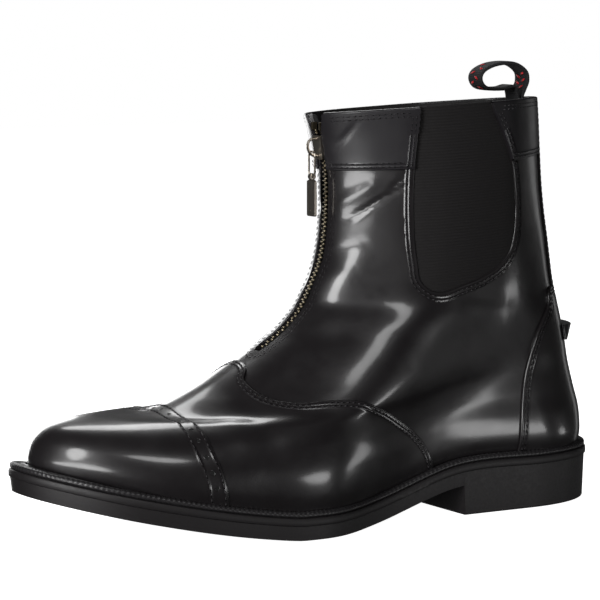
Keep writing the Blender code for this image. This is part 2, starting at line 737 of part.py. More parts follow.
def make_zip_teeth(material):
    middle = zip_middle()
    closed = teeth_loops(SLIT_BOTTOM + TEETH_DEPTH + 3.0 * GAP, SLIDER_BOTTOM, lambda z: middle, 1.0, 1.0)
    made = [add_loft("zip_teeth", closed, material)]
    top = COLLAR_FRONT - STOP_DROP - STOP_HEIGHT
    reach = SLIT_TOP_HALF - TEETH_CORE - GAP
    start = TEETH_CORE
    for name, side in (("zip_teeth_open_outer", 1.0), ("zip_teeth_open_inner", -1.0)):
        low = SLIDER_TOP - OPEN_TEETH_OVERLAP

        def x_of(z, side=side, low=low):
            share = (z - low) / (COLLAR_FRONT - low)
            return middle + side * (start + (reach - start) * share * TEETH_SPREAD)

        loops = teeth_loops(SLIDER_TOP + OPEN_TEETH_RISE, top - GAP, x_of, 0.5, 0.5)
        made.append(add_loft(name, loops, material))
        x = x_of(top + 0.5 * STOP_HEIGHT)
        y = front_point(x, top + 0.5 * STOP_HEIGHT, -STOP_SINK)[1]
        made.append(add_block("zip_stop" + name[-6:], (x, y, top + 0.5 * STOP_HEIGHT),
                              (STOP_WIDTH, STOP_DEPTH, STOP_HEIGHT), material))
    return made


def add_block(name, centre, size, material, bevel=0.0):
    bpy.ops.mesh.primitive_cube_add(size=1.0, location=centre)
    item = bpy.context.object
    item.name = name
    item.data.name = name
    for vertex in item.data.vertices:
        vertex.co = Vector((vertex.co.x * size[0], vertex.co.y * size[1], vertex.co.z * size[2]))
    for owner in list(item.users_collection):
        owner.objects.unlink(item)
    PARTS.objects.link(item)
    item.data.materials.append(material)
    if bevel:
        modifier = item.modifiers.new("Bevel", 'BEVEL')
        modifier.width = bevel
        modifier.segments = 2
    return item


def curve_mesh(name, points, radius, material, cyclic=False, resolution=2, collection=None):
    """A round wire through points, made a mesh with its caps welded."""
    data = bpy.data.curves.new(name, 'CURVE')
    data.dimensions = '3D'
    data.bevel_depth = radius
    data.bevel_resolution = resolution
    data.use_fill_caps = not cyclic
    spline = data.splines.new('POLY')
    spline.points.add(len(points) - 1)
    for point, place in zip(spline.points, points):
        point.co = (*place, 1.0)
    spline.use_cyclic_u = cyclic
    source = bpy.data.objects.new(name + "_wire", data)
    bpy.context.scene.collection.objects.link(source)
    bpy.context.view_layer.update()
    graph = bpy.context.evaluated_depsgraph_get()
    mesh = bpy.data.meshes.new_from_object(source.evaluated_get(graph))
    matrix = source.matrix_world.copy()
    bpy.data.objects.remove(source, do_unlink=True)
    work = bmesh.new()
    work.from_mesh(mesh)
    bmesh.ops.remove_doubles(work, verts=work.verts, dist=1e-6)
    bmesh.ops.recalc_face_normals(work, faces=work.faces)
    work.to_mesh(mesh)
    work.free()
    mesh.name = name
    item = bpy.data.objects.new(name, mesh)
    item.matrix_world = matrix
    (collection or PARTS).objects.link(item)
    mesh.materials.clear()
    if material:
        mesh.materials.append(material)
    return item


def rounded_loop(half_width, half_height, corner, steps=4):
    """Points of a rounded rectangle in its own plane."""
    points = []
    for cx, cy, start in ((1, 1, 0), (-1, 1, 90), (-1, -1, 180), (1, -1, 270)):
        for k in range(steps + 1):
            angle = math.radians(start + 90.0 * k / steps)
            points.append((cx * (half_width - corner) + corner * math.cos(angle),
                           cy * (half_height - corner) + corner * math.sin(angle)))
    return points


def slider_frame():
    """The slider's middle on the zip, and the link's bar in the bail."""
    middle = zip_middle()
    z = 0.5 * (SLIDER_TOP + SLIDER_BOTTOM)
    face = front_point(middle, z, 0.0)[1]
    bar_y = face - SLIDER_STANDOFF - SLIDER_PLATE - BAIL_BAR * BAIL_REACH
    bar_z = z - LINK_DROP * (SLIDER_TOP - SLIDER_BOTTOM)
    return middle, z, face, bar_y, bar_z


def make_slider(material):
    """Slider plate with its bail, an arch that stands out in front."""
    middle, z, face, bar_y, bar_z = slider_frame()
    half_z = 0.5 * (SLIDER_TOP - SLIDER_BOTTOM)
    outline = rounded_loop(SLIDER_HALF, half_z, 0.6 * SLIDER_HALF)
    slope = front_line(np.array([z]))[1][0]
    back_y = face - SLIDER_STANDOFF
    loops = []
    for y in (back_y, back_y - SLIDER_PLATE):
        loops.append([(middle + px, y + slope * pz, z + pz) for px, pz in outline])
    plate = add_loft("zip_slider", loops, material)
    foot = half_z - 2.0 * BAIL_RADIUS
    base_y = back_y - 0.5 * SLIDER_PLATE
    tip = BAIL_REACH + 0.5 * SLIDER_PLATE
    path = []
    for k in range(9):
        angle = math.pi * k / 8
        reach = tip * math.sin(angle)**0.6
        place = foot * math.cos(angle)
        path.append((middle, base_y - reach + slope * place, z + place))
    bail = curve_mesh("bail_cutter", path, BAIL_RADIUS, None, collection=CUTTERS)
    bail.hide_render = True
    bail.display_type = 'WIRE'
    cut(plate, bail, 'UNION')
    return plate


def make_link(material):
    """Wire loop from the bail down to the pull tab's eye."""
    middle, z, face, bar_y, bar_z = slider_frame()
    half = 0.5 * LINK_LENGTH
    points = []
    for px, pz in rounded_loop(LINK_HALF, half, 0.8 * LINK_HALF, 3):
        points.append((middle + px, bar_y, bar_z - half + pz))
    return curve_mesh("zip_pull_link", points, LINK_RADIUS, material, cyclic=True)


def make_pull(material):
    """Flat pull tab with a rolled eye around the link's lower bar."""
    middle, z, face, bar_y, bar_z = slider_frame()
    eye_z = bar_z - LINK_LENGTH
    eye_half = LINK_HALF - LINK_RADIUS - EYE_CLEARANCE
    eye_x = eye_half * 0.75
    ring = 12
    outer = []
    inner = []
    for k in range(ring):
        angle = 2.0 * math.pi * k / ring
        outer.append((EYE_RADIUS * math.cos(angle), EYE_RADIUS * math.sin(angle)))
        inner.append((EYE_BORE * math.cos(angle), EYE_BORE * math.sin(angle)))
    loops = []
    for x, line in ((-eye_x, outer), (eye_x, outer), (eye_x, inner), (-eye_x, inner)):
        loops.append([(middle + x, bar_y + a, eye_z + b) for a, b in line])
    verts = [p for loop in loops for p in loop]
    faces = []
    for i in range(4):
        n = (i + 1) % 4
        for j in range(ring):
            k = (j + 1) % ring
            faces.append((i * ring + j, i * ring + k, n * ring + k, n * ring + j))
    eye = add_cutter("pull_eye_cutter", verts, faces)
    top = eye_z - 0.5 * (EYE_RADIUS + EYE_BORE)
    shoulder = eye_z - EYE_RADIUS - PULL_CORNER
    low = top - PULL_LENGTH
    side = PULL_HALF - PULL_CORNER
    outline = [(-eye_x, top), (-PULL_HALF, shoulder), (-PULL_HALF, low + PULL_CORNER), (-side, low),
               (side, low), (PULL_HALF, low + PULL_CORNER), (PULL_HALF, shoulder), (eye_x, top)]
    half = 0.5 * PULL_THICKNESS
    front_loop = [(middle + x, bar_y - half, z) for x, z in outline]
    back_loop = [(middle + x, bar_y + half, z) for x, z in outline]
    plate = add_loft("zip_pull_tab", [front_loop, back_loop], material)
    cut(plate, eye, 'UNION')
    hole = [(middle + PULL_HOLE * math.cos(a), low + PULL_HOLE_RISE + PULL_HOLE * math.sin(a))
            for a in (2.0 * math.pi * k / 10 for k in range(10))]
    cut(plate, front_prism("pull_hole_cutter", hole, bar_y - 0.01, bar_y + 0.01), 'DIFFERENCE')
    return plate


def make_pull_loop(material):
    """Webbing loop sewn inside the collar at the back, leaning forward over the collar."""
    rows = np.array(LOOP_PATH)
    share = np.arange(len(rows), dtype=float)
    fine = np.linspace(0.0, len(rows) - 1.0, 36)
    edge = shell_point(np.linspace(0.0, 0.1, 30), np.ones(30), -LEATHER)
    wall_y = np.interp(0.5 * LOOP_WIDTH, edge[:, 0], edge[:, 1])
    foot_y = wall_y - GAP - 0.5 * LOOP_THICKNESS
    y = foot_y - hermite(share, rows[:, 0], fine) * LOOP_REACH
    z = COLLAR_BACK + hermite(share, rows[:, 1], fine) * LOOP_HEIGHT
    tangent = np.stack([np.gradient(y), np.gradient(z)], 1)
    tangent = tangent / np.linalg.norm(tangent, axis=1, keepdims=True)
    normal = np.stack([-tangent[:, 1], tangent[:, 0]], 1) * 0.5 * LOOP_THICKNESS
    half = 0.5 * LOOP_WIDTH
    loops = []
    for i in range(len(fine)):
        a = (y[i] + normal[i, 0], z[i] + normal[i, 1])
        b = (y[i] - normal[i, 0], z[i] - normal[i, 1])
        loops.append([(-half, *a), (half, *a), (half, *b), (-half, *b)])
    return add_loft("pull_loop", loops, material)


def make_spur_rest(material):
    """Wedge on the counter that carries a spur strap."""
    lift = GAP + COUNTER_LIFT + GAP
    u = np.linspace(-SPUR_TURN, SPUR_TURN, 15)
    v = np.linspace(0.0, 1.0, 200)

    def at_height(z, out):
        points = []
        for place in u:
            line = shell_point(np.full(len(v), place % 1.0), v, out)
            points.append([np.interp(z, line[:, 2], line[:, 0]), np.interp(z, line[:, 2], line[:, 1]), z])
        return np.array(points)

    taper = np.clip((1.0 - np.abs(u) / SPUR_TURN) / SPUR_TAPER, 0.0, 1.0)[:, None]
    low_in = at_height(SPUR_TOP - SPUR_DEPTH, lift)
    high_in = at_height(SPUR_TOP, lift)
    low_out = low_in + (at_height(SPUR_TOP - SPUR_DEPTH, lift + SPUR_FOOT) - low_in)
    high_out = high_in + (at_height(SPUR_TOP, lift + SPUR_REACH) - high_in) * (0.3 + 0.7 * taper)
    loops = []
    for i in range(len(u)):
        loops.append([low_in[i], high_in[i], high_out[i], low_out[i]])
    return add_loft("spur_rest", loops, material)


clear_scene()
PARTS = new_collection("paddock_boot")
CUTTERS = new_collection("cutters")

leather = finish_material("black_leather", (0.012, 0.011, 0.012), 0.22)
band_leather = finish_material("band_leather", (0.011, 0.010, 0.012), 0.30)
rubber = finish_material("black_rubber", (0.022, 0.021, 0.022), 0.55)
welt_rubber = finish_material("welt_rubber", (0.016, 0.015, 0.016), 0.42)
board = finish_material("insole_board", (0.045, 0.035, 0.028), 0.80)
elastic = finish_material("elastic", (0.010, 0.010, 0.010), 0.85)
tape = finish_material("zip_tape", (0.010, 0.010, 0.011), 0.80)
brass = finish_material("antique_brass", (0.30, 0.25, 0.16), 0.35, 1.0)
nickel = finish_material("antique_nickel", (0.26, 0.23, 0.20), 0.32, 1.0)
webbing = finish_material("webbing", (0.012, 0.012, 0.013), 0.75)

make_outsole(rubber)
make_welt(welt_rubber)
make_insole(board)
make_upper(leather)
make_vamp(leather)
make_toe_cap(leather)
make_counter(leather)
make_back_strip(band_leather)
make_bands(band_leather)
make_gores(elastic)
make_zip_tapes(tape)
make_zip_teeth(brass)
make_slider(nickel)
make_link(nickel)
make_pull(nickel)
make_pull_loop(webbing)
make_spur_rest(rubber)
bpy.context.view_layer.update()
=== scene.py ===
# Looks of the paddock boot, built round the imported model.
# Toe along -Y, outer side +X, up +Z. Metres. The floor is z = 0.

import math

import bmesh
import bpy
import numpy as np
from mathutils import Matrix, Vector


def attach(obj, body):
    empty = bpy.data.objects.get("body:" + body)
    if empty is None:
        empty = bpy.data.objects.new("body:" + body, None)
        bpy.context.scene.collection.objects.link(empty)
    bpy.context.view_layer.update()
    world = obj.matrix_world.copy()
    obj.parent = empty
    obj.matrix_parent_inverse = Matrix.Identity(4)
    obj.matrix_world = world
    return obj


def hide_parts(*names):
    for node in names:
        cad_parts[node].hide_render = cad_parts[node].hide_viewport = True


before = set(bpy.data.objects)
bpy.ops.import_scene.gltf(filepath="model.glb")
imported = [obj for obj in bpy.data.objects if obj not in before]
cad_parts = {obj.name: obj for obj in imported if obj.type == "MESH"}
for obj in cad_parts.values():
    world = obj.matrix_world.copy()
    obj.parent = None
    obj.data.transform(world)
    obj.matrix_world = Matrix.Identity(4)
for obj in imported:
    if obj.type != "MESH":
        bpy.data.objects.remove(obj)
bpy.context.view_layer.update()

MM = 0.001

# Driving sizes, as in the part's source
LENGTH = 0.300
BALL_HALF = 0.0535
HEEL_RIM = 0.0246
WAIST_RIM = 0.0116
BALL_RIM = 0.0106
TOE_SPRING = 0.0240
HEEL_LENGTH = 0.086
FOREPART_THICKNESS = 0.0102
EDGE_TAPER = 0.0014
EDGE_BEVEL = 0.0040
HEEL_BEVEL = 0.0008
RIM_STEP = 0.0007
RIM_BAND = 0.0032
BREAST_LEAN = 0.0008
COLLAR_FRONT = 0.187
COLLAR_BACK = 0.1920
COLLAR_ROLL = 0.055
ROLL_START = 0.5
WELT_INSET = 0.0006
WELT_MARGIN = 0.0050
LEATHER = 0.0022
GAP = 0.0003
CAP_TOP = GAP + 0.0015
VAMP_TOP = GAP + 0.0009
COUNTER_TOP = GAP + 0.0011
BAND_TOP = GAP + 0.0009
STRIP_TOP = GAP + 0.0010
BAND_DEPTH = 0.0255
STRIP_HALF = 0.0165
GORE_DEPTH = 0.0007
INSOLE_THICKNESS = 0.0030
SLIT_HALF = 0.0036
SLIT_TOP_HALF = 0.0068
SLIT_BOTTOM = 0.0795
SLIDER_TOP = 0.1775
SLIDER_BOTTOM = 0.1665
TOOTH_PITCH = 0.0020
TEETH_CORE = 0.0014
LOOP_WIDTH = 0.0110
LOOP_THICKNESS = 0.0019
LOOP_HEIGHT = 0.0165
LOOP_REACH = 0.0238

# Sole outline: station from heel back to toe tip, half widths as shares of half the ball width
SOLE = np.array([
    # station, outer, inner
    (0.00, 0.680, 0.680),
    (0.12, 0.680, 0.680),
    (0.22, 0.670, 0.655),
    (0.33, 0.668, 0.590),
    (0.45, 0.715, 0.640),
    (0.56, 0.950, 0.856),
    (0.68, 0.921, 0.969),
    (0.78, 0.875, 0.920),
    (0.90, 0.740, 0.800),
    (1.00, 0.600, 0.678),
])
TOE_ROUND = 0.145
HEEL_ROUND = 0.170
END_FULLNESS = 2.2
RIM_STATIONS = [0.0, 0.14, 0.30, 0.46, 0.62, 1.0]
SPRING_START = 0.61
SPRING_POWER = 1.24

# The last and the shaft, one row for each loop from the sole up to the collar
RINGS = np.array([
    # front_y, front_z, back_y, back_z, heel, waist, ball, fore, round_b, round_f, follow, swell
    (-.4690, .000, .4810, .000, .580, .555, .900, .730, .13, .21, 1.00, .00),
    (-.4690, .016, .4825, .016, .592, .575, .915, .745, .13, .21, 1.00, .02),
    (-.4680, .055, .4835, .055, .620, .610, .940, .745, .13, .21, .93, .05),
    (-.4575, .098, .4810, .115, .630, .635, .930, .715, .14, .22, .80, .05),
    (-.4320, .128, .4715, .180, .620, .650, .880, .640, .15, .24, .62, .02),
    (-.3770, .139, .4620, .247, .600, .660, .820, .560, .16, .26, .44, .00),
    (-.2930, .136, .4555, .307, .585, .670, .790, .530, .17, .28, .28, .00),
    (-.2200, .180, .4485, .368, .570, .680, .765, .515, .19, .29, .14, .00),
    (-.1540, .248, .4400, .428, .560, .685, .745, .505, .21, .29, .05, .00),
    (-.0920, .322, .4320, .489, .550, .690, .730, .505, .24, .29, .00, .00),
    (-.0370, .404, .4260, .552, .550, .690, .720, .505, .27, .29, .00, .00),
    (-.0090, .493, .4200, .616, .555, .695, .715, .510, .29, .28, .00, .00),
    (.0100, .580, .4130, .688, .560, .700, .715, .520, .31, .28, .00, .00),
    (.0180, .698, .4070, .767, .570, .710, .725, .530, .32, .28, .00, .00),
    (.0180, .817, .4030, .852, .585, .725, .735, .540, .33, .28, .00, .00),
    (.0110, .918, .4000, .930, .595, .740, .745, .550, .33, .28, .00, .00),
    (.0000, 1.00, .3970, 1.00, .600, .750, .750, .555, .33, .28, .00, .00),
])
ROWS = len(RINGS) - 1
WIDTH_KNOTS = np.array([0.0, 0.10, 0.35, 0.62, 0.88, 1.0])
BOW_Y = [-0.50, -0.30, -0.10, 0.05, 0.20, 0.50]
BOW_X = [0.0, 0.0, 0.030, 0.050, 0.030, 0.0]

# Seams seen from the side, as y share of the length and z share of the collar's height
CAP_EDGE = [(-.240, .350), (-.243, .325), (-.252, .290), (-.252, .240), (-.243, .185), (-.232, .115),
            (-.229, .05)]
WING_EDGE = [(-.119, .430), (-.132, .392), (-.146, .364), (-.137, .339), (-.120, .325), (-.095, .319),
             (-.045, .324), (-.006, .322), (.040, .296), (.078, .262), (.112, .226), (.145, .166),
             (.157, .120), (.158, .05)]
COUNTER_EDGE = [(.440, .548), (.392, .541), (.386, .507), (.372, .480), (.356, .451), (.333, .380),
                (.325, .338), (.319, .275), (.316, .209), (.316, .05)]
GORE_EDGE = [(.117, 1.15), (.117, .640), (.120, .598), (.136, .574), (.158, .570), (.182, .580), (.233, .602),
             (.267, .628), (.289, .665), (.297, .703), (.294, .830), (.290, .860), (.282, .890), (.260, .960),
             (.240, 1.02), (.236, 1.15)]
LOOP_PATH = [(.08, -.95), (.08, -.20), (.13, .24), (.22, .34), (.45, .28), (.85, .32), (1.0, .55), (.93, .80),
             (.62, .98), (.20, 1.0), (-.08, .78), (-.13, .50), (-.06, .25), (0.0, .04),
             (0.0, -.30), (0.0, -.95)]
FAR = 0.2

# Creases listed, seen from the side: from, to, height (below zero for a trough), half width.
# side: 1 outer, -1 inner, 0 both.
CREASES = [
    # y0, z0, y1, z1, height mm, half width mm, side
    (.010, .1395, .0215, .1495, -.55, 1.5, 1),
    (.0215, .1495, .0300, .1548, -.40, 1.3, 1),
    (.024, .1535, .0285, .1580, -.30, 1.2, 1),
    (.006, .1450, .0180, .1560, .45, 2.8, 1),
    (.006, .1725, .0105, .1840, -.40, 1.3, 1),
    (-.002, .120, .014, .128, -.45, 3.2, 1),
    (-.008, .110, .012, .1165, .50, 4.0, 1),
    (-.010, .101, .020, .105, -.60, 4.5, 1),
    (-.016, .093, .016, .096, .45, 4.0, 0),
    (-.024, .086, .006, .088, -.35, 3.5, 0),
    (.010, .090, .060, .098, .40, 7.0, 1),
    (.030, .075, .085, .088, -.45, 8.0, 1),
    (.060, .104, .085, .100, -.40, 4.0, 0),
    (-.050, .062, -.046, .040, -.35, 5.0, 0),
    (-.062, .060, -.058, .036, .30, 5.0, 0),
    (.002, .140, .016, .150, -.40, 2.5, -1),
    (-.008, .108, .016, .115, -.50, 4.0, -1),
]


# The boot's form

def hermite(knots, values, x):
    """Smooth curve through values at the knots; values may hold one column for each x."""
    knots = np.asarray(knots, float)
    x = np.clip(np.asarray(x, float), knots[0], knots[-1])
    values = np.asarray(values, float)
    step = np.diff(knots).reshape((-1,) + (1,) * (values.ndim - 1))
    rise = np.diff(values, axis=0) / step
    slope = np.empty_like(values)
    slope[1:-1] = (rise[:-1] * step[1:] + rise[1:] * step[:-1]) / (step[:-1] + step[1:])
    slope[0] = rise[0]
    slope[-1] = rise[-1]
    i = np.clip(np.searchsorted(knots, x, side='right') - 1, 0, len(knots) - 2)
    h = np.diff(knots)[i]
    t = (x - knots[i]) / h

    def at(table, index):
        if table.ndim == 1:
            return table[index]
        return np.take_along_axis(table, index[None], 0)[0]

    start = (2 * t**3 - 3 * t**2 + 1) * at(values, i) + (t**3 - 2 * t**2 + t) * h * at(slope, i)
    end = (3 * t**2 - 2 * t**3) * at(values, i + 1) + (t**3 - t**2) * h * at(slope, i + 1)
    return start + end


def round_end(share, reach, fullness=2.0):
    """Half width of a round end, from 0 at its tip to 1 at its reach."""
    g = np.clip(share / reach, 0.0, 1.0)
    return np.clip(1.0 - (1.0 - g)**fullness, 0.0, 1.0)**(1.0 / fullness)


def rim_height(y):
    """Height of the sole's top edge."""
    t = 0.5 - np.asarray(y, float) / LENGTH
    heights = [HEEL_RIM, HEEL_RIM, 0.97 * HEEL_RIM, WAIST_RIM, BALL_RIM, BALL_RIM]
    spring = np.clip((t - SPRING_START) / (1.0 - SPRING_START), 0.0, 1.0)**SPRING_POWER
    return hermite(RIM_STATIONS, heights, t) + TOE_SPRING * spring


def bow(y):
    """Sideways shift of the foot's middle line."""
    return hermite(BOW_Y, BOW_X, np.asarray(y, float) / LENGTH) * BALL_HALF


def last_point(u, v):
    """Point on the upper's outer face. u runs 0 at the back, 0.25 outer side, 0.5 front,
    0.75 inner side; v runs 0 at the sole, 1 at the collar."""
    u, v = np.broadcast_arrays(np.asarray(u, float), np.asarray(v, float))
    rows = np.arange(ROWS + 1)
    column = [hermite(rows, RINGS[:, k], v * ROWS) for k in range(RINGS.shape[1])]
    front_y, front_z, back_y, back_z, heel, waist, ball, fore, round_b, round_f, follow, swell = column
    turn = 2.0 * math.pi * u
    s = (1.0 - np.cos(turn)) / 2.0
    side = np.where(np.sin(turn) >= 0.0, 1.0, -1.0)
    foot_front = RINGS[0, 0] * LENGTH
    foot_back = RINGS[0, 2] * LENGTH
    base_front = rim_height(foot_front) + GAP
    base_back = rim_height(foot_back) + GAP
    z_front = base_front + front_z * (COLLAR_FRONT - base_front)
    z_back = base_back + back_z * (COLLAR_BACK - base_back)
    y = (back_y + (front_y - back_y) * s) * LENGTH
    chord = base_back + (base_front - base_back) * s
    sag = rim_height(foot_back + (foot_front - foot_back) * s) + GAP - chord
    z = z_back + (z_front - z_back) * s + follow * sag
    widths = np.stack([heel, heel, waist, ball, fore, 0.93 * fore], 0)
    own = hermite(WIDTH_KNOTS, widths, s) * BALL_HALF + side * bow(y)
    station = 0.5 - y / LENGTH
    outer = hermite(SOLE[:, 0], SOLE[:, 1], station)
    inner = hermite(SOLE[:, 0], SOLE[:, 2], station)
    sole = np.where(side > 0.0, outer, inner)
    sole = (sole + swell) * BALL_HALF - WELT_MARGIN
    share = follow**2
    ends = round_end(s, round_b) * round_end(1.0 - s, round_f)
    middle = bow(y) * (1.0 - share)
    width = (own - side * middle) * (1.0 - share) + (sole - side * middle) * share
    x = side * width * ends + middle
    roll = COLLAR_ROLL * np.clip((v - ROLL_START) / (1.0 - ROLL_START), 0.0, 1.0)**2
    return np.stack([x, y, z + roll * x], -1)


def relief(points):
    """Height of the creases over the smooth form."""
    x, y, z = points[..., 0], points[..., 1], points[..., 2]
    total = np.zeros(x.shape)
    for y0, z0, y1, z1, height, width, side in CREASES:
        along = np.array([y1 - y0, z1 - z0])
        share = np.clip(((y - y0) * along[0] + (z - z0) * along[1]) / along.dot(along), 0.0, 1.0)
        gap = np.hypot(y - y0 - share * along[0], z - z0 - share * along[1])
        taper = 0.35 + 0.65 * np.sin(math.pi * np.clip(share, 0.02, 0.98))
        amount = height * MM * taper * np.exp(-(gap / (width * MM))**2)
        if side:
            amount = amount * np.clip(0.5 + side * (x - 0.002) / 0.008, 0.0, 1.0)
        total += amount
    return total


def unit(vectors):
    return vectors / np.maximum(np.linalg.norm(vectors, axis=-1, keepdims=True), 1e-12)


def skin(u, v):
    """Point on the creased outer face, the smooth form's normal and the creased one's."""
    u, v = np.broadcast_arrays(np.asarray(u, float), np.asarray(v, float))
    step_u = 0.002
    step_v = 0.004
    inner_v = np.clip(v, step_v, 1.0 - step_v)
    corners = [last_point(u + step_u, inner_v), last_point(u - step_u, inner_v),
               last_point(u, inner_v + step_v), last_point(u, inner_v - step_v)]
    normal = unit(np.cross(corners[2] - corners[3], corners[0] - corners[1]))
    heights = [relief(p) for p in corners]
    along = corners[0] - corners[1] + normal * (heights[0] - heights[1])[..., None]
    upward = corners[2] - corners[3] + normal * (heights[2] - heights[3])[..., None]
    shaded = unit(np.cross(upward, along))
    base = last_point(u, v)
    return base + normal * relief(base)[..., None], normal, shaded


def walk(u, v, direction, distance):
    """Places reached from (u, v) by a short way along a direction in the face."""
    h = 0.001
    at_u = (last_point(u + h, v) - last_point(u - h, v)) / (2 * h)
    low = np.clip(v - h, 0.0, 1.0)
    high = np.clip(v + h, 0.0, 1.0)
    at_v = (last_point(u, high) - last_point(u, low)) / (high - low)[..., None]
    a = np.sum(at_u * at_u, -1)
    b = np.sum(at_u * at_v, -1)
    c = np.sum(at_v * at_v, -1)
    p = np.sum(at_u * direction, -1) * distance
    q = np.sum(at_v * direction, -1) * distance
    det = np.maximum(a * c - b * b, 1e-12)
    return u + (c * p - b * q) / det, np.clip(v + (a * q - b * p) / det, 0.0, 1.0)


def sole_outline(turn):
    """Sole outline; turn runs from 0 at the heel's back over the outer side."""
    s = (1.0 - np.cos(turn)) / 2.0
    outer = np.sin(turn) >= 0.0
    width = np.where(outer, hermite(SOLE[:, 0], SOLE[:, 1], s), hermite(SOLE[:, 0], SOLE[:, 2], s))
    ends = round_end(s, HEEL_ROUND, END_FULLNESS) * round_end(1.0 - s, TOE_ROUND, END_FULLNESS)
    width = width * ends * BALL_HALF
    return np.stack([np.where(outer, width, -width), LENGTH * (0.5 - s)], -1)


def inset_outline(turn, inset):
    """The sole outline moved inwards."""
    step = 0.01
    ahead = sole_outline(turn + step) - sole_outline(turn - step)
    inward = unit(np.stack([ahead[..., 1], -ahead[..., 0]], -1))
    return sole_outline(turn) + inward * np.broadcast_to(np.asarray(inset, float), turn.shape)[..., None]


# Seams

def smooth_line(rows, spacing=1.2 * MM):
    """Smooth (y, z) line through a seam's table."""
    points = np.array([(y * LENGTH, z * COLLAR_FRONT) for y, z in rows])
    reach = np.concatenate([[0.0], np.cumsum(np.linalg.norm(np.diff(points, axis=0), axis=1))])
    fine = np.linspace(0.0, reach[-1], int(reach[-1] / spacing) + 2)
    return np.stack([hermite(reach, points[:, 0], fine), hermite(reach, points[:, 1], fine)], 1)


def line_distance(points, line):
    """Distance from points to a line of any dimension."""
    best = np.full(points.shape[:-1], 1e9)
    for a, b in zip(line[:-1], line[1:]):
        along = b - a
        size = max(float(along.dot(along)), 1e-16)
        share = np.clip((points - a) @ along / size, 0.0, 1.0)
        gap = points - a - share[..., None] * along
        best = np.minimum(best, np.sum(gap * gap, -1))
    return np.sqrt(best)


def inside(points, polygon):
    """Whether (y, z) points lie in a polygon."""
    y, z = points[..., 0], points[..., 1]
    found = np.zeros(y.shape, bool)
    for (ay, az), (by, bz) in zip(polygon, np.roll(polygon, -1, 0)):
        if az == bz:
            continue
        crosses = (az > z) != (bz > z)
        found ^= crosses & (y < (by - ay) * (z - az) / (bz - az) + ay)
    return found


def side_region(rows, closing):
    """Signed distance, seen from the side, to a seam; above zero inside its region."""
    line = smooth_line(rows)
    polygon = np.concatenate([line, np.array(closing)])

    def signed(points):
        flat = points[..., 1:3]
        return np.where(inside(flat, polygon), 1.0, -1.0) * line_distance(flat, line)

    return signed


cap_region = side_region(CAP_EDGE, [(-FAR, 0.0), (-FAR, CAP_EDGE[0][1] * COLLAR_FRONT)])
wing_region = side_region(WING_EDGE, [(-FAR, 0.0), (-FAR, 0.2), (-.119 * LENGTH, 0.2)])
counter_region = side_region(COUNTER_EDGE, [(FAR, .05 * COLLAR_FRONT), (FAR, .548 * COLLAR_FRONT)])
gore_region = side_region(GORE_EDGE, [(.176 * LENGTH, 0.3)])


def zip_middle():
    return float(bow(0.02))


def slit_half(z):
    """Half width of the zip's opening at a height."""
    share = np.clip((z - SLIDER_TOP) / (COLLAR_FRONT - SLIDER_TOP), 0.0, 4.0)
    return SLIT_HALF + (SLIT_TOP_HALF - SLIT_HALF) * share


def slit_region(points):
    """Above zero inside the zip's opening, with a round foot."""
    x, y, z = points[..., 0], points[..., 1], points[..., 2]
    side = slit_half(z) - np.abs(x - zip_middle())
    foot = np.hypot(x - zip_middle(), np.minimum(z - SLIT_BOTTOM - SLIT_HALF, 0.0))
    low = SLIT_HALF - foot
    value = np.where(z < SLIT_BOTTOM + SLIT_HALF, low, side)
    return np.where(y < 0.05, value, -0.05)


def strip_region(points):
    return np.where(points[..., 1] > 0.08, STRIP_HALF - np.abs(points[..., 0]), -0.05)


def collar_drop(points):
    """Distance below the collar's line, seen from the side."""
    front_y = RINGS[-1, 0] * LENGTH
    back_y = RINGS[-1, 2] * LENGTH
    share = (points[..., 1] - front_y) / (back_y - front_y)
    return COLLAR_FRONT + (COLLAR_BACK - COLLAR_FRONT) * share - points[..., 2]


def band_region(points):
    return BAND_DEPTH - collar_drop(points)


def make_grid(u_low, u_high, v_low, v_high, columns, rows):
    u = np.linspace(u_low, u_high, columns + 1)
    v = np.linspace(v_low, v_high, rows + 1)
    return np.meshgrid(u, v)


